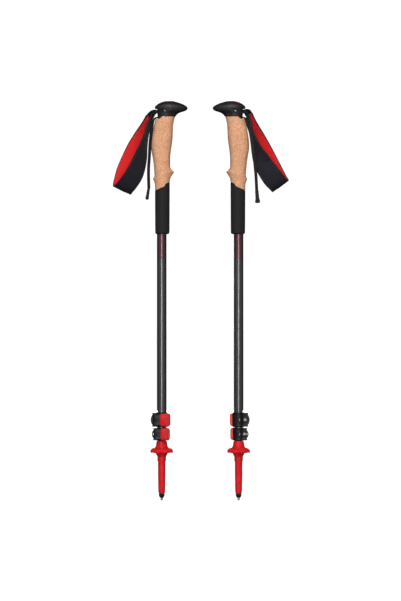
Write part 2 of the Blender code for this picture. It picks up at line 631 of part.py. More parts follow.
def make_knob(side, pole, materials, hand):
    rings = [oval(z, back, front, half, OVAL_SIDES, 2.2, 0.25) for z, back, front, half in KNOB_SECTIONS]
    knob = finish(f"{side}_knob", lofted(rings), pole, materials["knob"])
    boolean(knob, prism(below_line(GRIP_TOP_LINE, 600, -GAP), -30, 30, "Y"))
    boolean(knob, rod(SPIGOT_R, SPIGOT_BOTTOM, 662), "UNION")
    boolean(knob, rod(SPIGOT_R - 2, SPIGOT_BOTTOM - 5, 655, sides=16))
    slot_low = (-20, -SLOT_HALF_WIDTH, STRAP_PIN_Z - SLOT_HALF_HEIGHT)
    slot_high = (STRAP_PIN_X + SLOT_HALF_HEIGHT, SLOT_HALF_WIDTH, STRAP_PIN_Z + SLOT_HALF_HEIGHT)
    boolean(knob, block(slot_low, slot_high))
    boolean(knob, cross_rod(STRAP_PIN_R + GAP, -25, 25, STRAP_PIN_X, STRAP_PIN_Z, 16))
    edges = sorted((hand * TAIL_SLOT[0][1], hand * TAIL_SLOT[1][1]))
    boolean(knob, block((TAIL_SLOT[0][0], edges[0], TAIL_SLOT[0][2]),
                        (TAIL_SLOT[1][0], edges[1], TAIL_SLOT[1][2])))
    boolean(knob, crown_patch(GAP, 4, INLAY_DEPTH + GAP))
    inlay = crown_patch(0, INLAY_RISE, INLAY_DEPTH)
    finish(f"{side}_knob_inlay", inlay, pole, materials["red_plastic"])


# ---------------------------------------------------------------- strap

def make_strap_anchor(side, pole, materials):
    """Cross pin, the folded webbing on it, and the wedge that jams the webbing in the slot."""
    pin = cross_rod(STRAP_PIN_R, -14.6, 14.6, STRAP_PIN_X, STRAP_PIN_Z)
    finish(f"{side}_strap_pin", pin, pole, materials["steel"])
    lug = [(SLOT_LIP_X, STRAP_PIN_Z + 1.1), (SLOT_LIP_X, STRAP_PIN_Z - 1.9)]
    lug += arc((STRAP_PIN_X, STRAP_PIN_Z), SLOT_HALF_HEIGHT - 2 * GAP, -92, 92, 8)
    half = WEBBING_WIDTH / 2
    anchor = finish(f"{side}_strap_anchor", prism(lug, -half, half, "Y"), pole,
                    materials["webbing"])
    boolean(anchor, cross_rod(STRAP_PIN_R + GAP, -20, 20, STRAP_PIN_X, STRAP_PIN_Z))
    ceiling = STRAP_PIN_Z + SLOT_HALF_HEIGHT - GAP
    wedge = [(-7.6, STRAP_PIN_Z + 1.6), (0.6, STRAP_PIN_Z + 2.84), (0.6, ceiling),
             (-7.6, ceiling)]
    finish(f"{side}_strap_wedge", prism(wedge, -half, half, "Y"), pole,
           materials["black_plastic"])


def make_strap_loop(side, pole, materials, hand):
    def webbing_width(centre):
        return WEBBING_WIDTH

    def pad_width(centre):
        drop = (PAD_END_Z - centre.z) / (PAD_END_Z - PAD_WIDEST_Z)
        drop = min(max(drop, 0), 1)
        return PAD_END_WIDTH + (PAD_WIDTH - PAD_END_WIDTH) * drop

    webbing = band(smooth_between(WEBBING[side], 3), webbing_width, WEBBING_THICKNESS, hand)
    finish(f"{side}_strap_webbing", webbing, pole, materials["webbing"], STRAP_HINGE)
    curve = smooth_between(PADS[side], 2)
    whole = PAD_THICKNESS + GAP + LINING_THICKNESS
    shift = (whole - PAD_THICKNESS) / 2
    pad = band(curve, pad_width, PAD_THICKNESS, hand, shift)
    finish(f"{side}_strap_pad", pad, pole, materials["strap_pad"], STRAP_HINGE)
    shift = (LINING_THICKNESS - whole) / 2
    lining = band(curve, pad_width, LINING_THICKNESS, hand, shift, LINING_MARGIN)
    finish(f"{side}_strap_lining", lining, pole, materials["strap_lining"], STRAP_HINGE)


def make_strap_tail(side, pole, materials, hand):
    def tail_width(centre):
        return TAIL_WIDTH

    rows = []
    for i, (x, y, z) in enumerate(TAILS[side]):
        seen = TAIL_SEEN_WIDTH[side] * min(1, max(0, i - 2) / 4) / 2
        rows.append((y, x - seen, z, x + seen, z))
    tail = band(smooth_between(rows, 2), tail_width, TAIL_THICKNESS, hand)
    strap_tail = finish(f"{side}_strap_tail", tail, pole, materials["webbing"])

    end = Vector(TAILS[side][-1])
    outline = [(-TAIL_TAB_HALF_TOP, 0), (-TAIL_TAB_HALF_END, 2 - TAIL_TAB_LENGTH)]
    outline += [(1 - TAIL_TAB_HALF_END, -TAIL_TAB_LENGTH), (TAIL_TAB_HALF_END - 1, -TAIL_TAB_LENGTH)]
    outline += [(TAIL_TAB_HALF_END, 2 - TAIL_TAB_LENGTH), (TAIL_TAB_HALF_TOP, 0)]
    tab = prism(outline, -TAIL_TAB_WIDTH / 2, TAIL_TAB_WIDTH / 2, "Y")
    tilt = Matrix.Rotation(math.radians(TAIL_TAB_TILT), 3, "Y")
    bmesh.ops.rotate(tab, verts=tab.verts, matrix=tilt)
    bmesh.ops.translate(tab, verts=tab.verts, vec=(end.x, hand * end.y, end.z + 2))
    boolean(strap_tail, tab, "UNION")


# ---------------------------------------------------------------- assembly

def make_pole(side, turn, materials):
    pole = make_pole_frame(side, turn)
    hand = 1 if side == "left" else -1
    lower_clamp = CLAMPS["lower"]
    upper_clamp = CLAMPS["upper"]
    middle_end = lower_clamp["bottom"] + STOP_HEIGHT + GAP
    upper_end = upper_clamp["bottom"] + STOP_HEIGHT + GAP

    make_tip(side, pole, materials)
    make_basket(side, pole, materials["red_plastic"])
    make_tube(f"{side}_lower_shaft", pole, materials["lower_tube"], LOWER_R, LOWER_BORE,
              LOWER_END, LOWER_TOP)
    make_bush(f"{side}_lower_guide_bush", pole, materials["grey_plastic"], LOWER_BORE - GAP,
              MIDDLE_BORE - GAP, LOWER_TOP)
    make_tube(f"{side}_middle_shaft", pole, materials["lower_tube"], MIDDLE_R, MIDDLE_BORE,
              middle_end, MIDDLE_TOP)
    make_bush(f"{side}_middle_guide_bush", pole, materials["grey_plastic"], MIDDLE_BORE - GAP,
              UPPER_BORE - GAP, MIDDLE_TOP)
    shaft = make_tube(f"{side}_upper_shaft", pole, materials["upper_tube"], UPPER_R, UPPER_BORE,
                      upper_end, UPPER_TOP)
    clamp_top = upper_clamp["bottom"] + upper_clamp["height"]
    boolean(shaft, block((-20, -20, clamp_top - 6), (NOTCH_X, 20, clamp_top + NOTCH_HEIGHT)))

    for level, spec in CLAMPS.items():
        prefix = f"{side}_{level}"
        make_collar(f"{prefix}_clamp_collar", pole, materials["black_plastic"], spec)
        make_pin_and_screw(prefix, pole, materials, spec)
        make_lever(prefix, pole, materials, spec)

    make_foam(side, pole, materials["foam"])
    make_grip(side, pole, materials["cork"])
    make_knob(side, pole, materials, hand)
    make_strap_anchor(side, pole, materials)
    make_strap_loop(side, pole, materials, hand)
    make_strap_tail(side, pole, materials, hand)


def main():
    clear_scene()
    materials = make_materials()
    for side, turn in POLES.items():
        make_pole(side, turn, materials)


main()
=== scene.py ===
"""Looks of a pair of collapsed trekking poles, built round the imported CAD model.

Shapes are drawn in a pole's own frame in millimetres, as in the CAD source: +X is the way the beak
points, the levers are on the -Y side and z = 0 is the ground. piece() puts them in the frame that
both poles share. The right pole is the left one turned half a turn, with a mirrored strap.
"""

from math import acos, asin, copysign, cos, degrees, exp, hypot, pi, radians, sin, sqrt, tau

import bmesh
import bpy
from mathutils import Matrix, Vector, noise
from mathutils.bvhtree import BVHTree


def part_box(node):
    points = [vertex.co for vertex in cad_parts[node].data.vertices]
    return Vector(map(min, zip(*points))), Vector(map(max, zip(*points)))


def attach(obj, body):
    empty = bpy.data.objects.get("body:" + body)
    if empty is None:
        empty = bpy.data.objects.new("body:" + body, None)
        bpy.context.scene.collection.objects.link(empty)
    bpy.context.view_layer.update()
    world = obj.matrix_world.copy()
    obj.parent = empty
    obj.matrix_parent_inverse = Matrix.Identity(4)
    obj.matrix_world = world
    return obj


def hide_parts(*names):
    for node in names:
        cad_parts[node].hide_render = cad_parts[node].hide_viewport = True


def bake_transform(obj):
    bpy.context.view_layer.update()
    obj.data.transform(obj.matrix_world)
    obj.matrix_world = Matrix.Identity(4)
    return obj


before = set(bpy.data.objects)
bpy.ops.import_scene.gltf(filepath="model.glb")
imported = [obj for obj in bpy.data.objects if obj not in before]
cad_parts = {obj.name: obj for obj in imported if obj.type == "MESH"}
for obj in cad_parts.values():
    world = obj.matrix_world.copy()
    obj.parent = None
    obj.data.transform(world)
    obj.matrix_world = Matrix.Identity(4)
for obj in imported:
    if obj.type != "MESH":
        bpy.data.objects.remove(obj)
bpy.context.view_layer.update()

MM = 0.001
GAP = 0.3
# Points round a turned shape, a grip shell, the knob and its inlay
SIDES, COLUMNS, KNOB_COLUMNS, INLAY_COLUMNS = 64, 112, 72, 56

# Pole frames
SPACING = sum(corner.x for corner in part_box("right_carbide_tip")) / 2
POLES = {"left": Matrix.Scale(MM, 4)}
POLES["right"] = Matrix.Translation((SPACING, 0, 0)) @ Matrix.Rotation(pi, 4, "Z") @ POLES["left"]
HANDS = {"left": 1, "right": -1}

# Clamps, as in the CAD source. Heights are from the clamp's own bottom.
CLAMPS = {
    "lower": {"tube": 7, "inner": 6, "collar": 9.3, "reach": 17, "ear": 6.8,
              "pivot": (-10.3, -10.5), "barrel": 3.3, "cover": (-2, 14.2), "wrap": 2},
    "upper": {"tube": 8.25, "inner": 7, "collar": 10.4, "reach": 19, "ear": 7.3,
              "pivot": (-11.4, -11.3), "barrel": 3.5, "cover": (-3.4, 15.1), "wrap": 3},
}
STOP_HEIGHT = 3.0
EAR_SLOT = 1.6
PIN_R, BOSS_R, BOSS_HALF = 1.8, 3, 2.0
SCREW_R, SCREW_HEAD_R, SCREW_HEAD_HEIGHT = 1.4, 3.15, 2.4
COVER_THICKNESS = 1.9

# Basket lobes, and the length marks on the inner tubes
LOBES, LOBE_START_R, LOBE_DEPTH, LOBE_DROOP = 6, 11.9, 3.4, 0.25
MARK_STEP, MARK_HALF, MARKS_FROM_END = 10, 0.35, 60

# Grip
GRIP_BORE = CLAMPS["upper"]["tube"] + GAP
FOAM_X = 1.1
FOAM_R = ((456.8, 12.25), (530, 12.6), (560, 12.6))
JOINT_LINE = [(-30, 523.9), (5, 538.4), (7.2, 542.8), (30, 552.9)]
GRIP_TOP_LINE = [(-30, 653.6), (-3.5, 654.4), (1, 658.2), (40, 658.2)]
# (z, back x, front x, half width)
GRIP_SECTIONS = [
    (524, -11.4, 13.2, 12.2), (542, -11.6, 13.7, 12.4), (558, -12.4, 14.2, 12.8),
    (577, -13.9, 14.5, 13.6), (590, -15.8, 14.7, 14.5), (605, -18.2, 16.4, 15.4),
    (620, -17.4, 18.5, 15.6), (636, -14.8, 19.2, 15), (648, -12.1, 20.2, 14),
    (661, -9.2, 23.4, 13.4),
]
KNOB_SECTIONS = [
    (653, -7.4, 22.6, 12.9), (658, -7.2, 23.2, 13.2), (660.5, -7.2, 25, 13.5),
    (663.6, -7.4, 28, 14.1), (665.6, -7.7, 32, 14.8), (666.9, -8, 36.2, 15.4),
    (668.2, -8.5, 40.2, 15.9), (669.6, -9.3, 42.6, 16.4), (672.4, -11.4, 44.6, 17.1),
    (674.6, -12, 44.2, 17.2), (676.6, -11, 42.2, 16.8), (678.2, -9.2, 39.8, 16),
    (680, -6.5, 36.2, 14.8), (681.7, -3.4, 32, 13), (683.1, -0.2, 27.8, 10.8),
    (684.2, 3.6, 23.4, 8), (684.8, 6.6, 19.8, 5.2), (685, 9.6, 16.2, 2),
]
STRAP_PIN_X, STRAP_PIN_Z, STRAP_PIN_R = 5.7, 668, 1.6
TAIL_SLOT = ((-14, -9.6, 656.2), (-3.9, 1.4, 658.2))
INLAY_X, INLAY_HALF_LENGTH, INLAY_HALF_WIDTH = 7, 14.5, 8.5

# Wrist strap. A row is (y, x and z of the edge seen at the back, x and z of the edge seen in
# front). What is left of a band's width lies along Y, with the back edge nearer to -Y. The pads'
# rows have their y in PAD_DEPTHS, which both sides share.
WEBBING_WIDTH, WEBBING_THICKNESS = 15, 2.6
WEBBING = {
    "left": {
        "over": [(0, -3, 668.3, -2.8, 668.1), (0, -8, 668.6, -7.4, 668.2),
                 (0, -12.6, 669.4, -11.4, 668), (0, -17.6, 668.2, -14.6, 665.2),
                 (0.6, -22, 665.2, -17, 661.8), (1.4, -25.4, 661.4, -18.6, 657.4),
                 (1.6, -27, 658.4, -20, 654)],
        "under": [(0, -3, 665.8, -2.8, 665.6), (0, -8, 665.9, -7.4, 665.5),
                  (0, -12.4, 666.3, -10.4, 664.3), (-0.6, -16.2, 664, -12.6, 660.4),
                  (-1.4, -18.6, 660, -14.6, 656.8), (-1.8, -20.4, 654.6, -16.4, 652.2)],
    },
    "right": {
        "over": [(0, -3, 668.3, -2.8, 668.1), (0, -8, 668.7, -7.4, 668.3),
                 (0, -12.8, 670.5, -11.6, 668.9), (0, -17.2, 670.4, -14, 667),
                 (0.6, -20.4, 668.6, -16, 665.2), (1.4, -22.4, 665.4, -17.4, 663),
                 (1.6, -24.2, 661.6, -18.6, 659.4)],
        "under": [(0, -3, 665.8, -2.8, 665.6), (0, -8, 665.9, -7.4, 665.5),
                  (0, -12.4, 666.5, -10.2, 664.5), (-0.6, -15.6, 665, -11.8, 661.4),
                  (-1.4, -17.6, 661.6, -13.4, 658.6), (-1.8, -19, 655.8, -14.8, 653)],
    },
}
PAD_END_WIDTH, PAD_WIDTH = 17, 33.5
PAD_WIDEST_Z, PAD_END_Z = 562, 658.0
# Inner and outer face of each layer of the pad, from the band's middle
SHELL_LAYER, LINING_LAYER, BINDING_LAYER = (-0.4, 1.15), (-1.2, -0.45), (-1.3, 1.25)
PAD_MARGIN, SEAM_DEPTH = 0.5, 0.22
SEAM_INSET, SEAM_RISE, SEAM_START = 1.3, 1.35, 6.0
STITCH_LENGTH, STITCH_GAP, STITCH_R = 2, 1.2, 0.26
STITCH_PROFILE = ((0, 0.35), (0.15, 0.85), (0.5, 1), (0.85, 0.85), (1, 0.35))
# The y of each row of the pads, along the strap from the grip round the loop and back
PAD_DEPTHS = (
    -1.6, -2.2, -5.5, -9.5, -13, -15.5, -15.5, -13, -8, 0, 8, 13, 16, 16.5, 14.5, 10.5,
    4.6, 2.2, 1.6,
)
PADS = {"left": [
    (-19.5, 656.8, -15.5, 655.4), (-23.6, 647.6, -17.8, 645.8), (-29.5, 629, -23.1, 626.6),
    (-36.1, 611.7, -25.3, 606), (-43.9, 596, -25.8, 587.5), (-52.9, 578.3, -28.7, 568),
    (-62.4, 561.8, -34, 551.4), (-72.4, 548.8, -42.3, 537.9), (-79.4, 541.5, -49.4, 529.5),
    (-82.5, 539.2, -53.1, 525.6), (-83.3, 543.5, -54.4, 529), (-81.8, 552.4, -52.7, 537.5),
    (-76.8, 571, -48.4, 556.5), (-68.4, 591, -43.4, 576.5), (-58.9, 610.7, -37.9, 597),
    (-47.8, 628.4, -30.6, 616.5), (-34.2, 647.1, -23.4, 639.5), (-29.1, 655.3, -20.5, 650),
    (-26.1, 661, -18.8, 656.8),
], "right": [
    (-18, 660.5, -13.6, 657.5), (-20.2, 650.5, -15.8, 647.5), (-24.2, 634.5, -18.8, 631.5),
    (-31.5, 617, -21.4, 612.5), (-41.5, 601.5, -23.2, 594.5), (-51.8, 589.2, -25.6, 578.5),
    (-61.5, 577.5, -32, 562), (-72.5, 563.5, -43.8, 543), (-81.5, 552.5, -53.5, 533),
    (-84.9, 549, -57.6, 529.6), (-85.2, 552.5, -58.5, 532.5), (-82.3, 556.8, -55.8, 538.5),
    (-76.4, 568.4, -49, 552.5), (-66.8, 587.2, -41.5, 573), (-58, 603.6, -36, 591),
    (-47.4, 622.2, -29.6, 611.8), (-33.9, 643.2, -22.6, 638), (-27.6, 654.2, -19.4, 650.6),
    (-22.9, 664.8, -17.2, 662.6),
]}
# Tail centres, as (x, y, z), and how much of its width is seen. A negative seen width turns the
# edge by the grip to -Y.
TAIL_WIDTH, TAIL_THICKNESS = 10, 1.8
TAIL_FOLD_AT, TAIL_FOLD_THICKNESS = 9, 1.5
TAILS = {"left": [
    (-4.4, -4, 657.2), (-9, -4, 656.5), (-12.7, -4, 654.4), (-14.6, -4.2, 651),
    (-16.2, -4.4, 643), (-17.4, -4.8, 635), (-18.8, -5, 624), (-20.1, -5, 610),
    (-21.1, -5, 590), (-22.4, -5, 571), (-22.5, -5, 554), (-22, -5, 535),
], "right": [
    (-4.4, -4, 657.2), (-9, -4, 656.5), (-12.4, -4.2, 653.8), (-14, -5.6, 649.5),
    (-15.8, -8.5, 643), (-18.8, -12.4, 634), (-22.6, -16, 619.8), (-24.6, -18.5, 603),
    (-26.5, -21, 587.4), (-28, -22.6, 571), (-29.5, -22, 555), (-30.8, -21, 529),
]}
TAIL_SEEN_WIDTH = {"left": -4.8, "right": 4.4}
# Moulded end of a tail: half width at its top and at its end, and its tilt in degrees
TAB_LENGTH, TAB_WIDTH, TAB_CORNER = 21.4, 11, 2.4
TABS = {"left": (2.2, 2.9, 9), "right": (2.9, 4.4, 4.5)}

# Stage, in metres
LENS, SENSOR_WIDTH, CLIP_END = 180, 36, 100
VIEW_SPAN, VIEW_X, VIEW_Z = 1.0319, 0.0666, 0.3429
FLOOR_REACH, FLOOR_LOW, FLOOR_TOP = 30, -0.01, -0.0006
FOCUS = (0.067, 0, 0.36)
# (name, place, size, power, seen in reflections)
LIGHTS = [
    ("front_box", (0, -4.6, 3.4), (2.4, 1.6), 112, True),
    ("front_low", (0, -3.6, 0.16), (1.6, 0.3), 40, False),
    ("front_strip", (0.05, -4.2, 0.1), (0.6, 1.8), 29, True),
    ("top_box", (0.2, -1.5, 2.3), (1.8, 1), 11, True),
    ("left_box", (-1.6, -1.6, 1.5), (1, 1), 4, True),
    ("back_box", (0, 4.4, 2.6), (2.4, 1.8), 130, False),
    ("back_strip", (0, 4.2, 0.3), (0.4, 1.6), 22, True),
]


# ---------------- materials

class Nodes:
    """Short ways to add shader nodes to a tree."""

    def __init__(self, tree):
        self.tree = tree

    def set(self, node, inputs):
        for key, value in inputs.items():
            if isinstance(value, bpy.types.NodeSocket):
                self.tree.links.new(value, node.inputs[key])
            else:
                node.inputs[key].default_value = value

    def node(self, kind, inputs, **settings):
        made = self.tree.nodes.new(f"ShaderNode{kind}")
        for key, value in settings.items():
            setattr(made, key, value)
        self.set(made, inputs)
        return made

    def place(self, stretch=(1, 1, 1), uv=None):
        if uv:
            source = self.node("UVMap", {}, uv_map=uv).outputs["UV"]
        else:
            source = self.node("TexCoord", {}).outputs["Object"]
        return self.node("Mapping", {"Vector": source, "Scale": stretch}).outputs["Vector"]

    def noise(self, scale, detail=3.0, stretch=(1, 1, 1)):
        inputs = {"Vector": self.place(stretch), "Scale": scale, "Detail": detail}
        return self.node("TexNoise", inputs).outputs["Fac"]

    def cells(self, scale, output="Distance", stretch=(1, 1, 1), feature="F1"):
        inputs = {"Vector": self.place(stretch), "Scale": scale}
        return self.node("TexVoronoi", inputs, feature=feature).outputs[output]

    def wave(self, scale, direction, distortion=0.0, uv=None):
        inputs = {"Vector": self.place(uv=uv), "Scale": scale, "Distortion": distortion,
                  "Detail Scale": 2.0}
        return self.node("TexWave", inputs, bands_direction=direction).outputs["Fac"]

    def ramp(self, factor, *stops):
        made = self.node("ValToRGB", {"Fac": factor})
        elements = made.color_ramp.elements
        while len(elements) < len(stops):
            elements.new(0.5)
        for element, (position, colour) in zip(elements, stops):
            element.position = position
            element.color = (*colour, 1)
        return made.outputs["Color"]

    def mix(self, factor, first, second, mode="MIX"):
        made = self.node("Mix", {}, data_type="RGBA", blend_type=mode)
        self.set(made, {0: factor, 6: first, 7: second})
        return made.outputs[2]

    def math(self, operation, first, second):
        return self.node("Math", {0: first, 1: second}, operation=operation).outputs[0]

    def level(self, factor, low, high, start=0.0, end=1.0):
        inputs = {"Value": factor, "From Min": start, "From Max": end, "To Min": low, "To Max": high}
        return self.node("MapRange", inputs).outputs["Result"]

    def edges(self, low, high):
        """0 on flat and hollow places, rising to 1 on ridges and corners."""
        pointed = self.node("NewGeometry", {}).outputs["Pointiness"]
        return self.level(pointed, 0.0, 1.0, low, high)

    def bump(self, height, depth, normal=None):
        inputs = {"Height": height, "Strength": 1.0, "Distance": depth}
        if normal:
            inputs["Normal"] = normal
        return self.node("Bump", inputs).outputs["Normal"]


class Shade(Nodes):
    """A Principled material."""

    def __init__(self, name, colour, roughness, metallic=0.0, **sockets):
        self.material = bpy.data.materials.new(name)
        self.material.use_nodes = True
        super().__init__(self.material.node_tree)
        self.shader = self.tree.nodes["Principled BSDF"]
        self.finish((*colour, 1), roughness, Metallic=metallic, **sockets)

    def finish(self, colour, roughness, **sockets):
        self.set(self.shader, {"Base Color": colour, "Roughness": roughness})
        self.set(self.shader, {key.replace("_", " "): value for key, value in sockets.items()})
        return self.material


def grey(value):
    return (value, value, value)


def plastic(name, dark, light, worn, roughness, grain, shine_level=0.5):
    """Moulded plastic: slow colour drift, a fine spark texture and rubbed edges."""
    s = Shade(name, light, roughness, Specular_IOR_Level=shine_level)
    drift = s.ramp(s.noise(90, 4), (0.35, dark), (0.65, light))
    rubbed = s.math("MULTIPLY", s.edges(0.53, 0.62), s.level(s.noise(700, 2), 0.2, 0.9))
    colour = s.mix(rubbed, drift, (*worn, 1))
    shine = s.level(s.noise(450, 4), roughness - 0.07, roughness + 0.09)
    texture = s.bump(s.noise(2600, 2), grain)
    return s.finish(colour, shine, Normal=texture)


def tube_metal(name, low, high, roughness):
    """Drawn aluminium: hair lines along the tube, and a clear lacquer over them."""
    s = Shade(name, high, roughness, 1.0, Coat_Weight=0.35, Coat_Roughness=0.12)
    lines = s.noise(2400, 3, (1, 1, 0.02))
    colour = s.ramp(lines, (0.3, low), (0.7, high))
    shine = s.level(s.noise(160, 4, (1, 1, 0.2)), roughness - 0.05, roughness + 0.08)
    return s.finish(colour, shine, Normal=s.bump(lines, 0.000008))


def upper_tube_metal():
    """Charcoal lacquer with a burgundy band below the grip."""
    s = Shade("upper_tube_lacquer", grey(0.1), 0.3, 0.85, Coat_Weight=0.5, Coat_Roughness=0.1)
    lines = s.noise(2400, 3, (1, 1, 0.02))
    charcoal = s.ramp(lines, (0.3, (0.135, 0.131, 0.139)), (0.7, (0.175, 0.170, 0.180)))
    burgundy = s.ramp(lines, (0.3, (0.175, 0.080, 0.090)), (0.7, (0.22, 0.108, 0.116)))
    height = s.node("SeparateXYZ", {"Vector": s.place()}).outputs["Z"]
    wavy = s.math("ADD", height, s.level(s.noise(60, 2), -0.0006, 0.0006))
    band = s.level(wavy, 0.0, 1.0, 0.4125, 0.4150)
    flecks = s.level(s.noise(5000, 2), 0.92, 1.08)
    colour = s.mix(1.0, s.mix(band, charcoal, burgundy), flecks, "MULTIPLY")
    shine = s.level(s.noise(170, 4, (1, 1, 0.2)), 0.25, 0.37)
    return s.finish(colour, shine, Normal=s.bump(lines, 0.000006))


def cork_material():
    """Pressed cork: packed granules of many tans, dark bark specks and pits."""
    s = Shade("pressed_cork", (0.70, 0.355, 0.20), 0.72, Specular_IOR_Level=0.3)
    granule = s.node("SeparateColor", {"Color": s.cells(760, "Color", (1, 1, 0.75))}).outputs[0]
    tans = s.ramp(granule, (0.0, (0.60, 0.285, 0.150)), (0.35, (0.69, 0.345, 0.190)),
                  (0.7, (0.74, 0.385, 0.218)), (1.0, (0.83, 0.475, 0.290)))
    drift = s.ramp(s.noise(60, 4), (0.3, (0.95, 0.93, 0.91)), (0.7, (1.03, 1.03, 1.03)))
    warm = s.mix(1.0, tans, drift, "MULTIPLY")
    seams = s.level(s.cells(760, "Distance", (1, 1, 0.75), "DISTANCE_TO_EDGE"), 0.26, 0.0, 0.0, 0.06)
    seamed = s.mix(seams, warm, (0.47, 0.215, 0.105, 1))
    specks = s.level(s.noise(1300, 3), 0.0, 0.7, 0.66, 0.73)
    speckled = s.mix(specks, seamed, (0.27, 0.11, 0.05, 1))
    pale = s.level(s.noise(1000, 2, (1, 1, 0.5)), 0.0, 0.6, 0.60, 0.72)
    colour = s.mix(pale, speckled, (0.92, 0.66, 0.46, 1))
    pits = s.bump(s.level(s.noise(1300, 3), 1.0, 0.0, 0.64, 0.74), 0.00016)
    grain = s.bump(seams, -0.00005, pits)
    return s.finish(colour, s.level(granule, 0.62, 0.85), Normal=grain)


def foam_material():
    """Closed-cell foam: dark, matt and softly uneven."""
    s = Shade("grip_foam", (0.02, 0.02, 0.022), 0.78, Sheen_Weight=0.04, Specular_IOR_Level=0.35)
    cell = s.noise(2300, 3)
    colour = s.ramp(cell, (0.3, (0.007, 0.0065, 0.007)), (0.55, (0.0115, 0.0107, 0.0115)),
                    (0.8, (0.027, 0.025, 0.027)))
    drift = s.mix(s.level(s.noise(45, 3, (1, 1, 0.3)), 0.0, 0.35), colour, (0.024, 0.021, 0.023, 1))
    bumps = s.bump(cell, 0.00012, s.bump(s.noise(260, 3, (1, 1, 0.4)), 0.0001))
    return s.finish(drift, s.level(s.noise(900, 2), 0.66, 0.86), Normal=bumps)


def weave(name, dark, light, pitch, depth, roughness, sheen, twill=0.0):
    """Woven cloth. The weave map counts millimetres across and along the strip."""
    s = Shade(name, light, roughness, Sheen_Weight=sheen, Sheen_Roughness=0.35)
    scale = 0.314 / pitch
    over = s.wave(scale, "X", twill, "weave")
    under = s.wave(scale * 0.9, "Y", twill, "weave")
    thread = s.math("MULTIPLY", over, under)
    fuzz = s.noise(1900, 4)
    colour = s.ramp(thread, (0.0, dark), (0.75, light))
    worn = s.mix(s.level(s.noise(140, 5), 0.0, 0.5, 0.35, 0.8), colour, (*dark, 1))
    height = s.math("ADD", thread, s.math("MULTIPLY", fuzz, 0.5))
    return s.finish(worn, s.level(fuzz, roughness - 0.08, roughness + 0.08),
                    Normal=s.bump(height, depth))


def metal(name, low, high, roughness):
    s = Shade(name, high, roughness, 1.0)
    scratch = s.noise(1500, 4, (0.15, 1, 1))
    colour = s.ramp(scratch, (0.3, low), (0.7, high))
    shine = s.level(s.noise(600, 4), roughness - 0.08, roughness + 0.1)
    return s.finish(colour, shine, Normal=s.bump(scratch, 0.00001))


def make_materials():
    return {
        "red_plastic": plastic("red_nylon", (0.62, 0.010, 0.014), (0.74, 0.015, 0.020),
                               (0.80, 0.10, 0.10), 0.4, 0.00002, 0.22),
        "lever_red": plastic("lever_nylon", (0.54, 0.010, 0.014), (0.64, 0.014, 0.019),
                             (0.72, 0.12, 0.12), 0.44, 0.00002, 0.25),
        "inlay": plastic("dark_red_inlay", (0.20, 0.005, 0.009), (0.26, 0.008, 0.013),
                         (0.36, 0.03, 0.04), 0.45, 0.00002, 0.2),
        "black_plastic": plastic("black_nylon", (0.005, 0.0045, 0.005), (0.009, 0.0078, 0.009),
                                 (0.040, 0.037, 0.040), 0.46, 0.00003, 0.4),
        "knob": plastic("knob_rubber", (0.012, 0.0105, 0.012), (0.018, 0.0158, 0.018),
                        (0.05, 0.046, 0.05), 0.46, 0.00004),
        "grey_plastic": plastic("grey_nylon", grey(0.17), grey(0.22), grey(0.32), 0.5, 0.00003),
        "lower_tube": tube_metal("drawn_aluminium", grey(0.42), grey(0.5), 0.28),
        "upper_tube": upper_tube_metal(),
        "steel": metal("bright_steel", (0.30, 0.275, 0.285), (0.40, 0.37, 0.38), 0.42),
        "black_steel": metal("black_steel", grey(0.03), grey(0.06), 0.38),
        "carbide": metal("carbide_metal", grey(0.36), grey(0.5), 0.36),
        "foam": foam_material(),
        "cork": cork_material(),
        "webbing": weave("black_webbing", (0.004, 0.004, 0.0045), (0.011, 0.0105, 0.012), 0.9,
                         0.00018, 0.7, 0.06),
        "strap_pad": weave("navy_cloth", (0.006, 0.0055, 0.011), (0.012, 0.0115, 0.022), 0.55,
                           0.00010, 0.8, 0.1, 0.6),
        "strap_lining": weave("red_lining", (0.66, 0.012, 0.014), (0.82, 0.020, 0.022), 0.7,
                              0.00012, 0.85, 0.06, 1.0),
        # Pink-grey thread: partly the seams' own colour, partly a painted highlight for the light
        # caught along the strap pad's edges
        "thread": weave("pale_thread_with_painted_highlight", (0.085, 0.060, 0.066), (0.14, 0.100, 0.108), 0.5, 0.00004,
                        0.8, 0.05),
        "scale_ink": plastic("scale_ink", grey(0.02), grey(0.03), grey(0.05), 0.5, 0.00001),
    }


# ---------------- shape builders

def smooth_between(stations, steps):
    """Catmull-Rom curve through rows of numbers, with a number of steps in each span."""
    rows = [Vector(row) for row in stations]
    rows = [2 * rows[0] - rows[1], *rows, 2 * rows[-1] - rows[-2]]
    curve = []
    for a, b, c, d in zip(rows, rows[1:], rows[2:], rows[3:]):
        for i in range(steps):
            t = i / steps
            curve.append(0.5 * (2 * b + (c - a) * t + (2 * a - 5 * b + 4 * c - d) * t ** 2
                                + (3 * b - a - 3 * c + d) * t ** 3))
    curve.append(rows[-2])
    return curve


def row_at(rows, key):
    """Row of a table at a value of its first column, straight between rows."""
    for low, high in zip(rows, rows[1:]):
        if key <= high[0]:
            t = max(0.0, (key - low[0]) / (high[0] - low[0]))
            return [a + (b - a) * t for a, b in zip(low, high)]
    return list(rows[-1])


def around(count):
    """Angles of evenly spaced points round a circle."""
    return [tau * i / count for i in range(count)]


def smoothstep(value):
    t = min(max(value, 0.0), 1.0)
    return t * t * (3 - 2 * t)


def rounded(points, radius, steps=3):
    """Cut each corner of a closed flat outline with a short curve."""
    result = []
    for i, point in enumerate(points):
        corner = Vector(point)
        before = Vector(points[i - 1]) - corner
        after = Vector(points[(i + 1) % len(points)]) - corner
        reach = min(radius, before.length * 0.45, after.length * 0.45)
        start = corner + before.normalized() * reach
        end = corner + after.normalized() * reach
        for k in range(steps + 1):
            t = k / steps
            result.append(tuple(start * (1 - t) ** 2 + corner * 2 * t * (1 - t) + end * t * t))
    return result


def arc(centre, radius, start, end, steps):
    angles = [radians(start + (end - start) * i / steps) for i in range(steps + 1)]
    return [(centre[0] + radius * cos(a), centre[1] + radius * sin(a)) for a in angles]


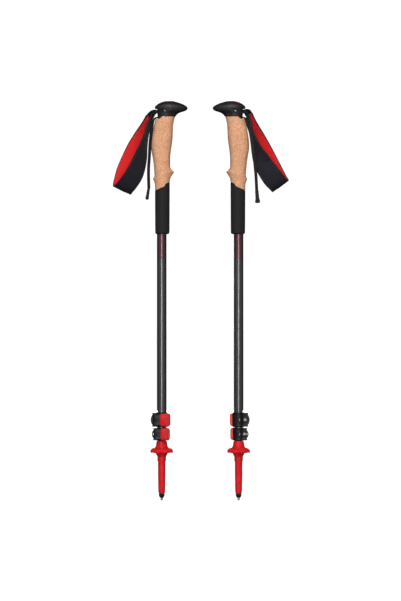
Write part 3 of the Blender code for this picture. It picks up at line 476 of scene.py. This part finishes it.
def rounded_rectangle(x0, x1, z0, z1, radius, steps=8):
    left, right, low, high = x0 + radius, x1 - radius, z0 + radius, z1 - radius
    corners = ((left, low, 180), (right, low, 270), (right, high, 0), (left, high, 90))
    return [point for x, z, start in corners
            for point in arc((x, z), radius, start, start + 90, steps)]


def mirrored(points, bottom, top):
    """An outline with its upper half like its lower one, given as (r, height above the bottom)."""
    return [(r, bottom + z) for r, z in points] + [(r, top - z) for r, z in reversed(points)]


def walls(rows):
    """Corners of the faces between rows that close on themselves."""
    for first, second in zip(rows, rows[1:]):
        for i in range(len(first)):
            j = (i + 1) % len(first)
            yield first[i], first[j], second[j], second[i]


def skin(rings, loop=False, bm=None):
    """Join equal rings of points. A loop closes on itself, and anything else is capped."""
    bm = bmesh.new() if bm is None else bm
    rows = [[bm.verts.new(point) for point in ring] for ring in rings]
    if loop:
        rows.append(rows[0])
    else:
        bm.faces.new(rows[0])
        bm.faces.new(rows[-1])
    for corners in walls(rows):
        bm.faces.new(corners)
    return bm


def turned(profile, sides=SIDES, reshape=None):
    """Spin an (r, z) outline about Z. An outline that starts on the axis is capped at both ends."""
    on_axis = profile[0][0] == 0
    if on_axis:
        profile = profile[1:-1]
    rings = []
    for r, z in profile:
        ring = []
        for angle in around(sides):
            radius, height = reshape(r, z, angle) if reshape else (r, z)
            ring.append((radius * cos(angle), radius * sin(angle), height))
        rings.append(ring)
    return skin(rings, loop=not on_axis)


def moved(bm, x, y, z=0):
    bmesh.ops.translate(bm, verts=bm.verts, vec=(x, y, z))
    return bm


def rod(radius, bottom, top, centre=(0, 0), sides=SIDES):
    return moved(turned([(0, bottom), (radius, bottom), (radius, top), (0, top)], sides), *centre)


def lay_along_y(bm, x, z):
    """Turn a shape drawn along Z so that it runs along Y through x and z."""
    bmesh.ops.rotate(bm, verts=bm.verts, matrix=Matrix.Rotation(-pi / 2, 3, "X"))
    return moved(bm, x, 0, z)


def cross_rod(radius, start, end, x, z, sides=40):
    return lay_along_y(rod(radius, start, end, sides=sides), x, z)


def prism(outline, low, high, along="Z"):
    return skin([[(a, b, level) if along == "Z" else (a, level, b) for a, b in outline]
                 for level in (low, high)])


def block(low, high):
    corners = [(low[0], low[1]), (high[0], low[1]), (high[0], high[1]), (low[0], high[1])]
    return prism(corners, low[2], high[2])


def join(target, *others):
    """Add other bmeshes' faces to the first."""
    for other in others:
        scrap = bpy.data.meshes.new("join")
        other.to_mesh(scrap)
        other.free()
        target.from_mesh(scrap)
        bpy.data.meshes.remove(scrap)
    return target


def add_object(name, data):
    obj = bpy.data.objects.new(name, data)
    bpy.context.scene.collection.objects.link(obj)
    return obj


def to_object(name, bm):
    bmesh.ops.recalc_face_normals(bm, faces=bm.faces)
    mesh = bpy.data.meshes.new(name)
    bm.to_mesh(mesh)
    bm.free()
    return add_object(name, mesh)


def carved(bm, add=(), cut=(), within=(), bevel=0.0, segments=2, voxel=0.0, smooth=0):
    """Join shapes, cut shapes away, keep what is within others, then remesh or bevel the result."""
    target = to_object("carved", bm)
    tools = []

    def modify(kind, **settings):
        modifier = target.modifiers.new(kind, kind)
        for key, value in settings.items():
            setattr(modifier, key, value)

    for operation, shapes in (("UNION", add), ("DIFFERENCE", cut), ("INTERSECT", within)):
        for shape in shapes:
            tools.append(to_object("tool", shape))
            modify("BOOLEAN", operation=operation, solver="EXACT", object=tools[-1])
    if voxel:
        modify("REMESH", mode="VOXEL", voxel_size=voxel)
    if smooth:
        modify("SMOOTH", iterations=smooth, factor=0.5)
    if bevel:
        modify("BEVEL", width=bevel, segments=segments, limit_method="ANGLE",
               angle_limit=radians(40))
    evaluated = target.evaluated_get(bpy.context.evaluated_depsgraph_get())
    result = bmesh.new()
    result.from_mesh(evaluated.to_mesh())
    evaluated.to_mesh_clear()
    for obj in [target, *tools]:
        mesh = obj.data
        bpy.data.objects.remove(obj)
        bpy.data.meshes.remove(mesh)
    return result


def piece(name, bm, side, body, slot, material=None, nodes="", sharp=38, rides=True):
    """Put a shape drawn in a pole's frame in place, with its material and body, and hide the CAD nodes
    it stands for.
    """
    obj = to_object(f"{side}_{name}", bm)
    obj.data.transform(POLES[side])
    obj.data.update()
    obj.data.shade_smooth()
    obj.data.set_sharp_from_angle(angle=radians(sharp))
    obj.data.materials.append(MATERIALS[material or slot])
    if rides:
        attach(obj, f"{side}_{body}")
    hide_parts(*[f"{side}_{node}" for node in nodes.split()])
    return obj


def extent(node):
    """Lowest and highest corner of a left-pole CAD node, in millimetres."""
    low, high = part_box(f"left_{node}")
    return low / MM, high / MM


def heights(node):
    """Bottom, top and middle of a left-pole CAD node."""
    low, high = extent(node)
    return low.z, high.z, (low.z + high.z) / 2


# ---------------- tip, basket and tubes

def make_tip(side):
    carbide = [(0, 0), (0.9, 0.35), (1.35, 0.0), (1.6, 0.15), (1.75, 1.1), (1.9, 2.4), (1.9, 7.5),
               (0, 7.5)]
    piece("carbide_point", turned(carbide, 40), side, "lower_section", "carbide", nodes="carbide_tip")
    ferrule = [(2.2, 7.7), (2.2, 4.3), (2.9, 4.3), (3.5, 5.3), (4.2, 6.6), (4.8, 7.9), (4.9, 8.6),
               (4.9, 10.9), (4.6, 11.3), (2.5, 11.3), (2.5, 9.0)]
    piece("ferrule_cone", turned(rounded(ferrule, 0.25)), side, "lower_section", "black_plastic",
          nodes="tip_ferrule")
    flex = [(2.8, 11.6), (4.9, 11.6), (5.3, 12.1), (5.7, 15.5), (5.95, 18.0), (6.1, 28), (6.3, 40),
            (6.4, 60), (6.4, 78), (7.4, 79), (7.4, 101), (6.3, 101), (6.3, 80), (2.8, 80)]
    tip = turned(rounded(flex, 0.5))
    rings = [turned(rounded([(5.9, z), (6.62, z + 0.3), (6.62, z + 0.9), (5.9, z + 1.2)], 0.25))
             for z in (58.6, 61.4, 64.2)]
    piece("flex_tip_shaft", join(tip, *rings), side, "lower_section", "red_plastic", nodes="flex_tip")


def make_basket(side):
    """Stepped sleeve with a drooping six-lobed skirt."""
    outline = [(6.6, 67), (7.3, 67), (7.4, 69.5), (7.15, 70.0), (7.4, 70.5), (7.4, 73.0), (7.15, 73.5),
               (7.4, 74.0), (7.5, 75.6), (8.8, 77.4), (9.9, 79.8), (10.6, 81.3), (13.2, 82.2),
               (17.0, 82.3), (18.6, 81.6), (19.4, 82.0), (19.6, 84.2), (19.2, 86.2), (17.6, 88.4),
               (14.6, 89.7), (12.2, 90.2), (11.0, 90.8), (10.6, 92.2), (10.1, 92.6), (9.9, 95.0),
               (9.5, 95.4), (9.4, 98.2), (9.1, 98.6), (8.9, 101.2), (8.6, 101.7), (7.7, 101.7),
               (7.7, 77.7), (6.6, 77.7)]

    def lobed(r, z, angle):
        notch = max(0.0, cos(LOBES * angle + pi)) ** 2.2
        share = smoothstep((r - LOBE_START_R) / 5)
        droop = share * (1 - notch) * LOBE_DROOP * cos(LOBES * angle)
        return r - share * notch * LOBE_DEPTH, z - droop

    skirt = turned(rounded(outline, 0.6), 168, lobed)
    piece("basket_shell", skirt, side, "snow_basket", "red_plastic", nodes="basket")


def tube(level, wall):
    """Open tube with a section's own radius and ends."""
    low, high = extent(f"{level}_shaft")
    bore = high.x - wall
    profile = [(high.x, low.z), (high.x, high.z), (bore, high.z), (bore, low.z)]
    return turned(rounded(profile, 0.25))


def make_tubes(side):
    for level in ("lower", "middle"):
        piece(f"{level}_tube", tube(level, 0.7), side, f"{level}_section", "lower_tube",
              nodes=f"{level}_shaft")
        make_scale(side, level)
    clamp_top = heights("upper_clamp_collar")[1]
    notch = block((-20, -20, clamp_top - 6), (-6.9, 20, clamp_top + 3.6))
    shaft = carved(tube("upper", 0.75), cut=[notch])
    piece("upper_tube", shaft, side, "upper_section", "upper_tube", nodes="upper_shaft")


def make_scale(side, level):
    """Length marks on the tube, with every fifth one longer."""
    low, high = extent(f"{level}_shaft")
    start = low.z + MARKS_FROM_END
    marks = bmesh.new()
    for k in range(int((high.z - MARKS_FROM_END - start) // MARK_STEP) + 1):
        middle = start + MARK_STEP * k
        spread = 26 if k % 5 == 0 else 14
        outline = arc((0, 0), high.x + 0.03, 270 - spread, 270 + spread, 10)
        outline += arc((0, 0), high.x - 0.2, 270 + spread, 270 - spread, 10)
        ends = (middle - MARK_HALF, middle + MARK_HALF)
        skin([[(x, y, z) for x, y in outline] for z in ends], bm=marks)
    piece(f"{level}_tube_scale", marks, side, f"{level}_section", "lower_tube", "scale_ink")


# ---------------- clamps

def make_collar(side, level, spec):
    bottom, top, middle = heights(f"{level}_clamp_collar")
    collar_r, reach, ear = spec["collar"], spec["reach"], spec["ear"]
    pivot_x = spec["pivot"][0]
    wall = collar_r - 0.55
    body = mirrored([(0, 0), (collar_r - 0.9, 0), (collar_r, 0.9), (collar_r, 3.0), (wall, 3.4),
                     (wall, 5.6), (collar_r - 0.15, 6.0)], bottom, top)
    flange = [(-4.0, 0.8), (-reach + 2.6, 0.8), (-reach + 2.2, 3.0), (-4.0, 3.4)]
    flanges = [[(x, bottom + z) for x, z in flange], [(x, top - z) for x, z in flange]]
    lug = mirrored([(-4.0, 3.0), (-reach + 4.0, 3.2), (-reach + 1.6, 5.4),
                    (-reach, (top - bottom) / 2 - 1.8)], bottom, top)
    added = [prism(rounded(outline, 0.5), -ear, ear, "Y") for outline in flanges]
    added += [prism(rounded(lug, 1.6), -ear + 0.8, ear - 0.8, "Y"),
              cross_rod(4.3, 0, ear + 0.25, pivot_x, middle)]
    cuts = [
        rod(spec["tube"] + GAP, bottom + STOP_HEIGHT, top + 5),
        rod(spec["inner"] + GAP, bottom - 5, bottom + STOP_HEIGHT + 1),
        block((-25, -EAR_SLOT / 2, bottom - 5), (-5, EAR_SLOT / 2, top + 5)),
        cross_rod(SCREW_R + GAP, -20, 20, pivot_x, middle),
        cross_rod(SCREW_HEAD_R + 0.5, ear - 0.45, 20, pivot_x, middle),
        block((-2.5, spec["tube"] - 1, middle - 2.4), (-0.5, 20, middle + 2.4)),
    ]
    if level == "lower":
        window = rounded_rectangle(-15.1, -14.0, middle - 1.9, middle + 1.9, 0.5)
        cuts.append(prism(window, -20, 20, "Y"))
    collar = carved(turned(body, 96), added, cuts, voxel=0.36, smooth=3)
    piece(f"{level}_clamp_body", collar, side, level_body(level), "black_plastic",
          nodes=f"{level}_clamp_collar", sharp=60)
    plate = block((-2.3, spec["tube"] + 0.9, middle - 2.2), (-0.7, collar_r - 0.6, middle + 2.2))
    piece(f"{level}_clamp_stop", carved(plate, bevel=0.3), side, level_body(level), "steel")


def level_body(level):
    """Body that carries a clamp: each clamp sits on the section outside its joint."""
    return {"lower": "middle_section", "upper": "upper_section"}[level]


def make_pin_and_screw(side, level, spec):
    bottom, top, middle = heights(f"{level}_pivot_pin")
    pivot_x, pivot_y = spec["pivot"]
    boss = middle - BOSS_HALF - bottom
    outline = [(0, 0), (PIN_R - 0.3, 0), (PIN_R, 0.4), (PIN_R, boss), (BOSS_R, boss)]
    pin = moved(turned(mirrored(outline, bottom, top), 40), pivot_x, pivot_y)
    hole = cross_rod(SCREW_R + GAP, pivot_y + 1, pivot_y + 6, pivot_x, middle)
    piece(f"{level}_pivot", carved(pin, cut=[hole]), side, level_body(level),
          "black_steel", nodes=f"{level}_pivot_pin")
    head = spec["ear"] + GAP
    top = head + SCREW_HEAD_HEIGHT
    outline = [(0, pivot_y + 1.3), (SCREW_R, pivot_y + 1.3), (SCREW_R, head), (SCREW_HEAD_R, head),
               (SCREW_HEAD_R, top - 0.9), (SCREW_HEAD_R - 0.5, top - 0.3), (SCREW_HEAD_R - 1.5, top),
               (0, top)]
    screw = lay_along_y(turned(outline, 48), pivot_x, middle)
    drive = block((pivot_x - 4, top - 0.8, middle - 0.45), (pivot_x + 4, top + 1, middle + 0.45))
    piece(f"{level}_screw", carved(screw, cut=[drive], bevel=0.12), side,
          level_body(level), "steel", nodes=f"{level}_tension_screw")


def make_lever(side, level, spec):
    bottom, top, middle = heights(f"{level}_lever_cover")
    half = (top - bottom) / 2
    pivot, barrel = spec["pivot"], spec["barrel"]
    face = pivot[1] - barrel
    hug = spec["collar"] + 0.5
    arm_end = spec["cover"][1] - 7.6
    end_angle = -degrees(acos(arm_end / hug))
    arm_half = half - 2.2
    outline = arc(pivot, barrel, 70, 270, 24)
    outline += [(arm_end - 1.5, face), (arm_end, face + 1.5)]
    outline += arc((0, 0), hug, end_angle, -127, 16)
    gap_half = BOSS_HALF + GAP
    cuts = [rod(barrel + 0.9, middle - gap_half, middle + gap_half, pivot),
            rod(PIN_R + GAP, middle - 20, middle + 20, pivot)]
    for offset in (-0.62, -0.31, 0.31, 0.62):
        z = middle + offset * arm_half + copysign(0.9, offset)
        cuts.append(block((pivot[0] - 6, face - 1, z - 0.25),
                          (pivot[0] + 2.5, face + 0.35, z + 0.25)))
    cam = carved(prism(outline, middle - arm_half, middle + arm_half), cut=cuts, bevel=0.28)
    piece(f"{level}_cam", cam, side, f"{level}_lever", "black_plastic", nodes=f"{level}_lever_cam")

    x0, x1 = spec["cover"]
    inside = face - GAP
    outside = inside - COVER_THICKNESS
    lip = spec["wrap"]
    shell = hug + GAP
    shell_end = degrees(asin(lip / shell))
    start_angle = -degrees(acos((arm_end + GAP) / shell))
    outline = [(x0, inside), (x0, outside), (x1 - 6.0, outside)]
    outline += arc((x1 - 6.0, outside + 6.0), 6.0, 280, 360, 14)
    outline += [(x1, lip - 1.2), (x1 - 1.2, lip)]
    outline += arc((0, 0), shell, shell_end, start_angle, 14)
    outline += [(arm_end + GAP, inside)]
    levels = [(outside - 0.01, 2.3), (outside + 0.35, 1.5), (outside + 1.1, 0.35),
              (outside + 1.6, 0.0), (lip + 5, 0.0)]
    pillow = []
    for y, inset in levels:
        ring = rounded_rectangle(x0 + inset, x1 + 0.02 - inset * 0.8, middle - half + inset,
                                 middle + half - inset, 4.4 - inset * 0.7)
        pillow.append([(x, y, z) for x, z in ring])
    cover = carved(prism(outline, middle - half, middle + half), within=[skin(pillow)],
                   bevel=0.3, segments=3)
    piece(f"{level}_cover", cover, side, f"{level}_lever", "red_plastic", "lever_red",
          nodes=f"{level}_lever_cover")


# ---------------- grip

def sleeve(section, bore, bottom_line, top_line, rows, low_edge, high_edge):
    """Closed shell round a bore whose ends follow lines of (x, z). Section is (x, y) at (angle, z)."""
    columns = []
    steps = [0.0, 0.08, 0.3, 0.6, 1.0]
    for angle in around(COLUMNS):
        ends = []
        for line in (bottom_line, top_line):
            z = row_at(line, 0.0)[1]
            for _ in range(4):
                z = row_at(line, section(angle, z)[0])[1]
            ends.append(z)
        low, high = ends
        inner = bore * cos(angle)
        column = [(inner, bore * sin(angle), row_at(bottom_line, inner)[1])]
        heights = [(low + s * low_edge, low_edge * (1 - sqrt(1 - (1 - s) ** 2))) for s in steps]
        span = (high - high_edge) - (low + low_edge)
        heights += [(low + low_edge + span * k / rows, 0.0) for k in range(1, rows)]
        heights += [(high - s * high_edge, high_edge * (1 - sqrt(1 - (1 - s) ** 2)))
                    for s in reversed(steps)]
        for z, inset in heights:
            x, y = section(angle, z)
            shrink = 1 - inset / hypot(x, y)
            column.append((x * shrink, y * shrink, z))
        column.append((inner, bore * sin(angle), row_at(top_line, inner)[1]))
        columns.append(column)
    return skin([list(ring) for ring in zip(*columns)], loop=True)


def make_foam(side):
    bottom = heights("foam_sleeve")[0]

    def section(angle, z):
        r = row_at(FOAM_R, z)[1] + 0.10 * cos(14 * angle) * smoothstep((z - bottom - 6) / 8)
        return FOAM_X + r * cos(angle), r * sin(angle)

    bottom_line = [(-30, bottom), (30, bottom)]
    top_line = [(x, z - GAP / 2) for x, z in JOINT_LINE]
    foam = sleeve(section, GRIP_BORE, bottom_line, top_line, 40, 3.2, 0.8)
    piece("foam_grip", foam, side, "upper_section", "foam", nodes="foam_sleeve")


def superellipse(angle, back, front, half_width, square, beak=0.0):
    c = cos(angle)
    s = sin(angle)
    x = copysign(abs(c) ** (2 / square), c)
    y = copysign(abs(s) ** (2 / square), s)
    return (back + front) / 2 + (front - back) / 2 * x, half_width * y * (1 - beak * max(0, x))


def make_cork(side):
    rows = smooth_between(GRIP_SECTIONS, 8)

    def ridge(z, peak, above, below, rise):
        reach = above if z > peak else below
        return rise * max(0.0, 1 - abs(z - peak) / reach) ** 1.5

    def section(angle, z):
        _, back, front, half_width = row_at(rows, z)
        x, y = superellipse(angle, back, front, half_width, 2.3)
        forward = cos(angle)
        crest = 557.2 + 6.8 * forward
        push = ridge(z, 563.4, 9.0, 14.0, 7.3) * max(0, forward) ** 3
        push -= ridge(z, 551.4, 7.0, 10.0, 3.0) * max(0, -forward) ** 3
        swell = 1 + ridge(z, crest, 10.0, 5.0, 0.085) * (1 - abs(forward) ** 3)
        return x * swell + push, y * swell

    bottom_line = [(x, z + GAP / 2) for x, z in JOINT_LINE]
    grip = sleeve(section, GRIP_BORE, bottom_line, GRIP_TOP_LINE, 130, 0.7, 0.5)
    piece("cork_handle", grip, side, "upper_section", "cork", nodes="cork_grip")


def make_knob(side):
    hand = HANDS[side]
    rings = []
    for z, back, front, half in smooth_between(KNOB_SECTIONS, 5):
        rings.append([(*superellipse(angle, back, front, half, 2.2, 0.25), z)
                      for angle in around(KNOB_COLUMNS)])
    rough = carved(skin(rings), voxel=0.7, smooth=6)
    tree = BVHTree.FromBMesh(rough)
    underside = [(x, z - GAP) for x, z in GRIP_TOP_LINE] + [(40, 600), (-30, 600)]
    edges = sorted((hand * TAIL_SLOT[0][1], hand * TAIL_SLOT[1][1]))
    slot = rounded_rectangle(-20, STRAP_PIN_X + 3.8, STRAP_PIN_Z - 3.8, STRAP_PIN_Z + 3.8, 0.8)
    cuts = [
        prism(underside, -30, 30, "Y"),
        prism(slot, -8.6, 8.6, "Y"),
        cross_rod(STRAP_PIN_R + 0.25, -25, 25, STRAP_PIN_X, STRAP_PIN_Z),
        block((TAIL_SLOT[0][0], edges[0], TAIL_SLOT[0][2]),
              (TAIL_SLOT[1][0], edges[1], TAIL_SLOT[1][2])),
        crown_patch(tree, GAP, 4, 1.3),
    ]
    knob = carved(rough, cut=cuts, bevel=0.18)
    piece("knob_body", knob, side, "upper_section", "knob", nodes="knob")
    inlay = crown_patch(tree, 0, 0.35, 1.0)
    piece("crown_inlay", carved(inlay, bevel=0.25, segments=3), side, "upper_section",
          "red_plastic", "inlay", nodes="knob_inlay")
    half = row_at(KNOB_SECTIONS, STRAP_PIN_Z)[3] - 0.7
    outline = mirrored([(0, 0), (STRAP_PIN_R - 0.5, 0.05), (STRAP_PIN_R, 0.5)], -half, half)
    piece("cross_pin", lay_along_y(turned(outline, 32), STRAP_PIN_X, STRAP_PIN_Z), side,
          "upper_section", "steel", nodes="strap_pin")


def crown_patch(tree, grow, above, below):
    """An oval plate that follows the crown, from so far above it to so far below it."""
    rings = []
    for scale, offset in [(1.0, -below), (1.0, above), (0.85, above), (0.6, above), (0.3, above)]:
        ring = []
        for angle in around(INLAY_COLUMNS):
            x = INLAY_X + (INLAY_HALF_LENGTH + grow) * scale * cos(angle)
            y = (INLAY_HALF_WIDTH + grow) * scale * sin(angle)
            hit = tree.ray_cast(Vector((x, y, 700)), Vector((0, 0, -1)))[0]
            ring.append((x, y, hit.z + offset))
        rings.append(ring)
    inner = [[(x, y, z - above - below) for x, y, z in ring] for ring in rings[2:]]
    return skin(list(reversed(inner)) + rings)


# ---------------- strap

def band_frames(rows, width_at, hand):
    """Centre, across, outward, half width and distance travelled at each row of a band."""
    frames = []
    last = len(rows) - 1
    centres = [Vector(((x0 + x1) / 2, y, (z0 + z1) / 2)) for y, x0, z0, x1, z1 in rows]
    travelled = 0.0
    for i, (_, x0, z0, x1, z1) in enumerate(rows):
        centre = centres[i].copy()
        seen = hypot(x0 - x1, z0 - z1)
        width = max(width_at(centre), seen)
        across = Vector((x0 - x1, -sqrt(width ** 2 - seen ** 2), z0 - z1)).normalized()
        ahead = centres[min(i + 1, last)] - centres[max(i - 1, 0)]
        outward = across.cross(ahead).normalized()
        if i:
            travelled += (centre - centres[i - 1]).length
        for vector in (centre, across, outward):
            vector.y *= hand
        frames.append((centre, across, outward, width / 2, travelled))
    return frames


def band(frames, section):
    """Sweep a closed section of (across, outward) points, given half width and distance."""
    bm = bmesh.new()
    uv = bm.loops.layers.uv.new("weave")
    rows = []
    for centre, across, outward, half, travelled in frames:
        rows.append([(bm.verts.new(centre + across * u + outward * w), (u, travelled))
                     for u, w in section(half, travelled)])
    for corners in [rows[0], rows[-1], *walls(rows)]:
        face = bm.faces.new([vert for vert, _ in corners])
        for loop, (_, place) in zip(face.loops, corners):
            loop[uv].uv = place
    return bm


def flat_section(thickness, across=12):
    """Section of a plain woven band with soft edges."""
    def section(half, travelled):
        upper = []
        for k in range(across + 1):
            u = half * cos(pi * k / across)
            share = sqrt(max(0.0, 1 - (u / half) ** 8))
            upper.append((u, thickness / 2 * share))
        return upper + [(u, -w) for u, w in reversed(upper[1:-1])]
    return section


def tail_section(half, travelled):
    """Section of the tail, which is folded double where it leaves the knob."""
    folded = exp(-((travelled - TAIL_FOLD_AT) / 5.0) ** 2)
    return flat_section(TAIL_THICKNESS + TAIL_FOLD_THICKNESS * folded)(half, travelled)


def pad_section(inner, outer, crown, seed, across=28):
    """Section of a quilted layer between two offsets, with a seam near each edge."""
    edge, far = (outer, inner) if crown > 0 else (inner, outer)

    def section(half, travelled):
        reach = half - PAD_MARGIN
        surface = []
        for k in range(across + 1):
            u = reach * (1 - 2 * k / across)
            inset = max(0.0, 1 - (reach - abs(u)) / 1.0)
            seam = exp(-((abs(u) - reach + 2.4) / 0.55) ** 2)
            puff = max(0.0, 1 - (u / (reach - 2.0)) ** 2) ** 0.6 if abs(u) < reach - 2.0 else 0.0
            ripple = noise.noise(Vector((u * 0.10, travelled * 0.06, seed))) * 0.35 * puff
            rise = crown * puff - copysign(SEAM_DEPTH, crown) * seam
            surface.append((u, edge + rise + ripple - (edge - far) * 0.45 * inset ** 2))
        return surface + [(u, far) for u, _ in reversed(surface)]
    return section


def edge_section(sign):
    """Section of the binding tape folded over one edge."""
    inner, outer = BINDING_LAYER

    def section(half, travelled):
        u0 = half - 0.75
        u1 = half + 0.1
        ring = rounded([(u0, inner), (u1, inner), (u1, outer), (u0, outer)], 0.4, steps=4)
        return [(sign * u, w) for u, w in ring]
    return section


def stitches(frames, sign):
    """A run of separate stitches that lie on a band near one edge."""
    path = [(travelled, *(centre + across * sign * (half - SEAM_INSET) + outward * SEAM_RISE))
            for centre, across, outward, half, travelled in frames]
    bm = bmesh.new()
    start = SEAM_START
    while start + STITCH_LENGTH < path[-1][0] - SEAM_START:
        a, b = (Vector(row_at(path, place)[1:]) for place in (start, start + STITCH_LENGTH))
        direction = (b - a).normalized()
        side = direction.orthogonal().normalized()
        other = direction.cross(side)
        spokes = [(side * cos(angle) + other * sin(angle)) * STITCH_R for angle in around(6)]
        rings = [[a.lerp(b, t) + spoke * r for spoke in spokes] for t, r in STITCH_PROFILE]
        skin(rings, bm=bm)
        start += STITCH_LENGTH + STITCH_GAP
    uv = bm.loops.layers.uv.new("weave")
    for face in bm.faces:
        for loop in face.loops:
            loop[uv].uv = (loop.vert.co.x, loop.vert.co.z)
    return bm


def make_strap(side):
    hand = HANDS[side]

    def pad_width(centre):
        drop = min(max((PAD_END_Z - centre.z) / (PAD_END_Z - PAD_WIDEST_Z), 0), 1)
        return PAD_END_WIDTH + (PAD_WIDTH - PAD_END_WIDTH) * drop

    rows = [(y, *edges) for y, edges in zip(PAD_DEPTHS, PADS[side])]
    frames = band_frames(smooth_between(rows, 10), pad_width, hand)
    shell = band(frames, pad_section(*SHELL_LAYER, 0.45, 1.0))
    pad = piece("strap_shell", shell, side, "wrist_strap", "strap_pad", nodes="strap_pad",
                sharp=70)
    inner = band(frames, pad_section(*LINING_LAYER, -0.4, 7.0))
    lining = piece("strap_inside", inner, side, "wrist_strap", "strap_lining",
                   nodes="strap_lining", sharp=70)
    tape = join(*[band(frames, edge_section(sign)) for sign in (1, -1)])
    piece("strap_binding", tape, side, "wrist_strap", "webbing", sharp=70)
    # The stitches' pale thread is partly a painted highlight along the pad's edges
    seams = join(*[stitches(frames, sign) for sign in (1, -1)])
    piece("strap_stitching", seams, side, "wrist_strap", "webbing", "thread")

    layers = []
    for rows in WEBBING[side].values():
        frames = band_frames(smooth_between(rows, 8), lambda centre: WEBBING_WIDTH, hand)
        layers.append(band(frames, flat_section(WEBBING_THICKNESS)))
    webbing = piece("strap_webbing_band", join(*layers), side, "wrist_strap", "webbing",
                    nodes="strap_webbing strap_anchor", sharp=70, rides=False)
    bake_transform(webbing)

    rows = []
    for i, (x, y, z) in enumerate(TAILS[side]):
        seen = TAIL_SEEN_WIDTH[side] * min(1, max(0, i - 1) / 3) / 2
        rows.append((y, x - seen, z, x + seen, z))
    frames = band_frames(smooth_between(rows, 8), lambda centre: TAIL_WIDTH, hand)
    piece("tail_webbing", band(frames, tail_section), side, "upper_section",
          "webbing", nodes="strap_tail", sharp=70)
    make_tail_tab(side, hand)


def make_tail_tab(side, hand):
    """Moulded end that grips the tail's last few millimetres."""
    end = Vector(TAILS[side][-1])
    narrow, wide, tilt = TABS[side]
    outline = [(-narrow, 0), (-narrow - 0.3, -TAB_LENGTH + 8)]
    outline += arc((TAB_CORNER - wide, TAB_CORNER - TAB_LENGTH), TAB_CORNER, 180, 270, 8)
    outline += arc((wide - TAB_CORNER, TAB_CORNER - TAB_LENGTH), TAB_CORNER, 270, 360, 8)
    outline += [(narrow + 0.3, -TAB_LENGTH + 8), (narrow, 0)]
    tab = prism(outline, -TAB_WIDTH / 2, TAB_WIDTH / 2, "Y")
    bmesh.ops.rotate(tab, verts=tab.verts, matrix=Matrix.Rotation(radians(tilt), 3, "Y"))
    moved(tab, end.x, hand * end.y, end.z + 2)
    piece("tail_tab", carved(tab, bevel=0.6, segments=3), side, "upper_section", "webbing", "foam")


# ---------------- stage

def area_light(name, place, size, power, glossy):
    light = bpy.data.lights.new(name, "AREA")
    light.shape = "RECTANGLE"
    light.size, light.size_y = size
    light.energy = power
    obj = add_object(name, light)
    obj.location = place
    obj.rotation_euler = (Vector(FOCUS) - Vector(place)).to_track_quat("-Z", "Y").to_euler()
    obj.visible_glossy = glossy


def make_world():
    """White to the camera, and to the poles a dim light that is stronger on the camera's side."""
    world = bpy.data.worlds.new("studio")
    world.use_nodes = True
    nodes = Nodes(world.node_tree)
    towards = nodes.node("TexCoord", {}).outputs["Generated"]
    depth = nodes.node("SeparateXYZ", {"Vector": towards}).outputs["Y"]
    white = (1, 1, 1, 1)
    lit = nodes.tree.nodes["Background"]
    nodes.set(lit, {"Color": white, "Strength": nodes.level(depth, 0.005, 0.22, 0.35, -0.9)})
    seen = nodes.node("Background", {"Color": white, "Strength": 1.05})
    to_camera = nodes.node("LightPath", {}).outputs["Is Camera Ray"]
    choose = nodes.node("MixShader", {0: to_camera, 1: lit.outputs[0], 2: seen.outputs[0]})
    nodes.set(nodes.tree.nodes["World Output"], {"Surface": choose.outputs[0]})
    bpy.context.scene.world = world


def make_stage():
    scene = bpy.context.scene
    scene.view_settings.view_transform = "Standard"
    camera = add_object("camera", bpy.data.cameras.new("camera"))
    camera.data.lens = LENS
    camera.data.sensor_width = SENSOR_WIDTH
    camera.data.clip_end = CLIP_END
    camera.location = (VIEW_X, -VIEW_SPAN * LENS / SENSOR_WIDTH, VIEW_Z)
    camera.rotation_euler = (pi / 2, 0, 0)
    scene.camera = camera
    make_world()

    floor = to_object("floor", block((-FLOOR_REACH, -FLOOR_REACH, FLOOR_LOW),
                                     (FLOOR_REACH, FLOOR_REACH, FLOOR_TOP)))
    s = Shade("floor_paper", grey(0.9), 0.9, Emission_Strength=1.0)
    paper = s.ramp(s.noise(3, 2), (0.3, grey(0.04)), (0.7, grey(0.05)))
    floor.data.materials.append(s.finish(paper, 0.9, Emission_Color=(1, 1, 1, 1)))
    floor.visible_diffuse = False
    floor.visible_glossy = False
    for light in LIGHTS:
        area_light(*light)


# ---------------- assembly

MATERIALS = make_materials()
make_stage()
for side in POLES:
    make_tip(side)
    make_basket(side)
    make_tubes(side)
    for level, spec in CLAMPS.items():
        make_collar(side, level, spec)
        make_pin_and_screw(side, level, spec)
        make_lever(side, level, spec)
    make_foam(side)
    make_cork(side)
    make_knob(side)
    make_strap(side)
    for node, material in (("lower_guide_bush", "grey_plastic"), ("middle_guide_bush", "grey_plastic"),
                           ("strap_wedge", "black_plastic")):
        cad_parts[f"{side}_{node}"].material_slots[0].material = MATERIALS[material]
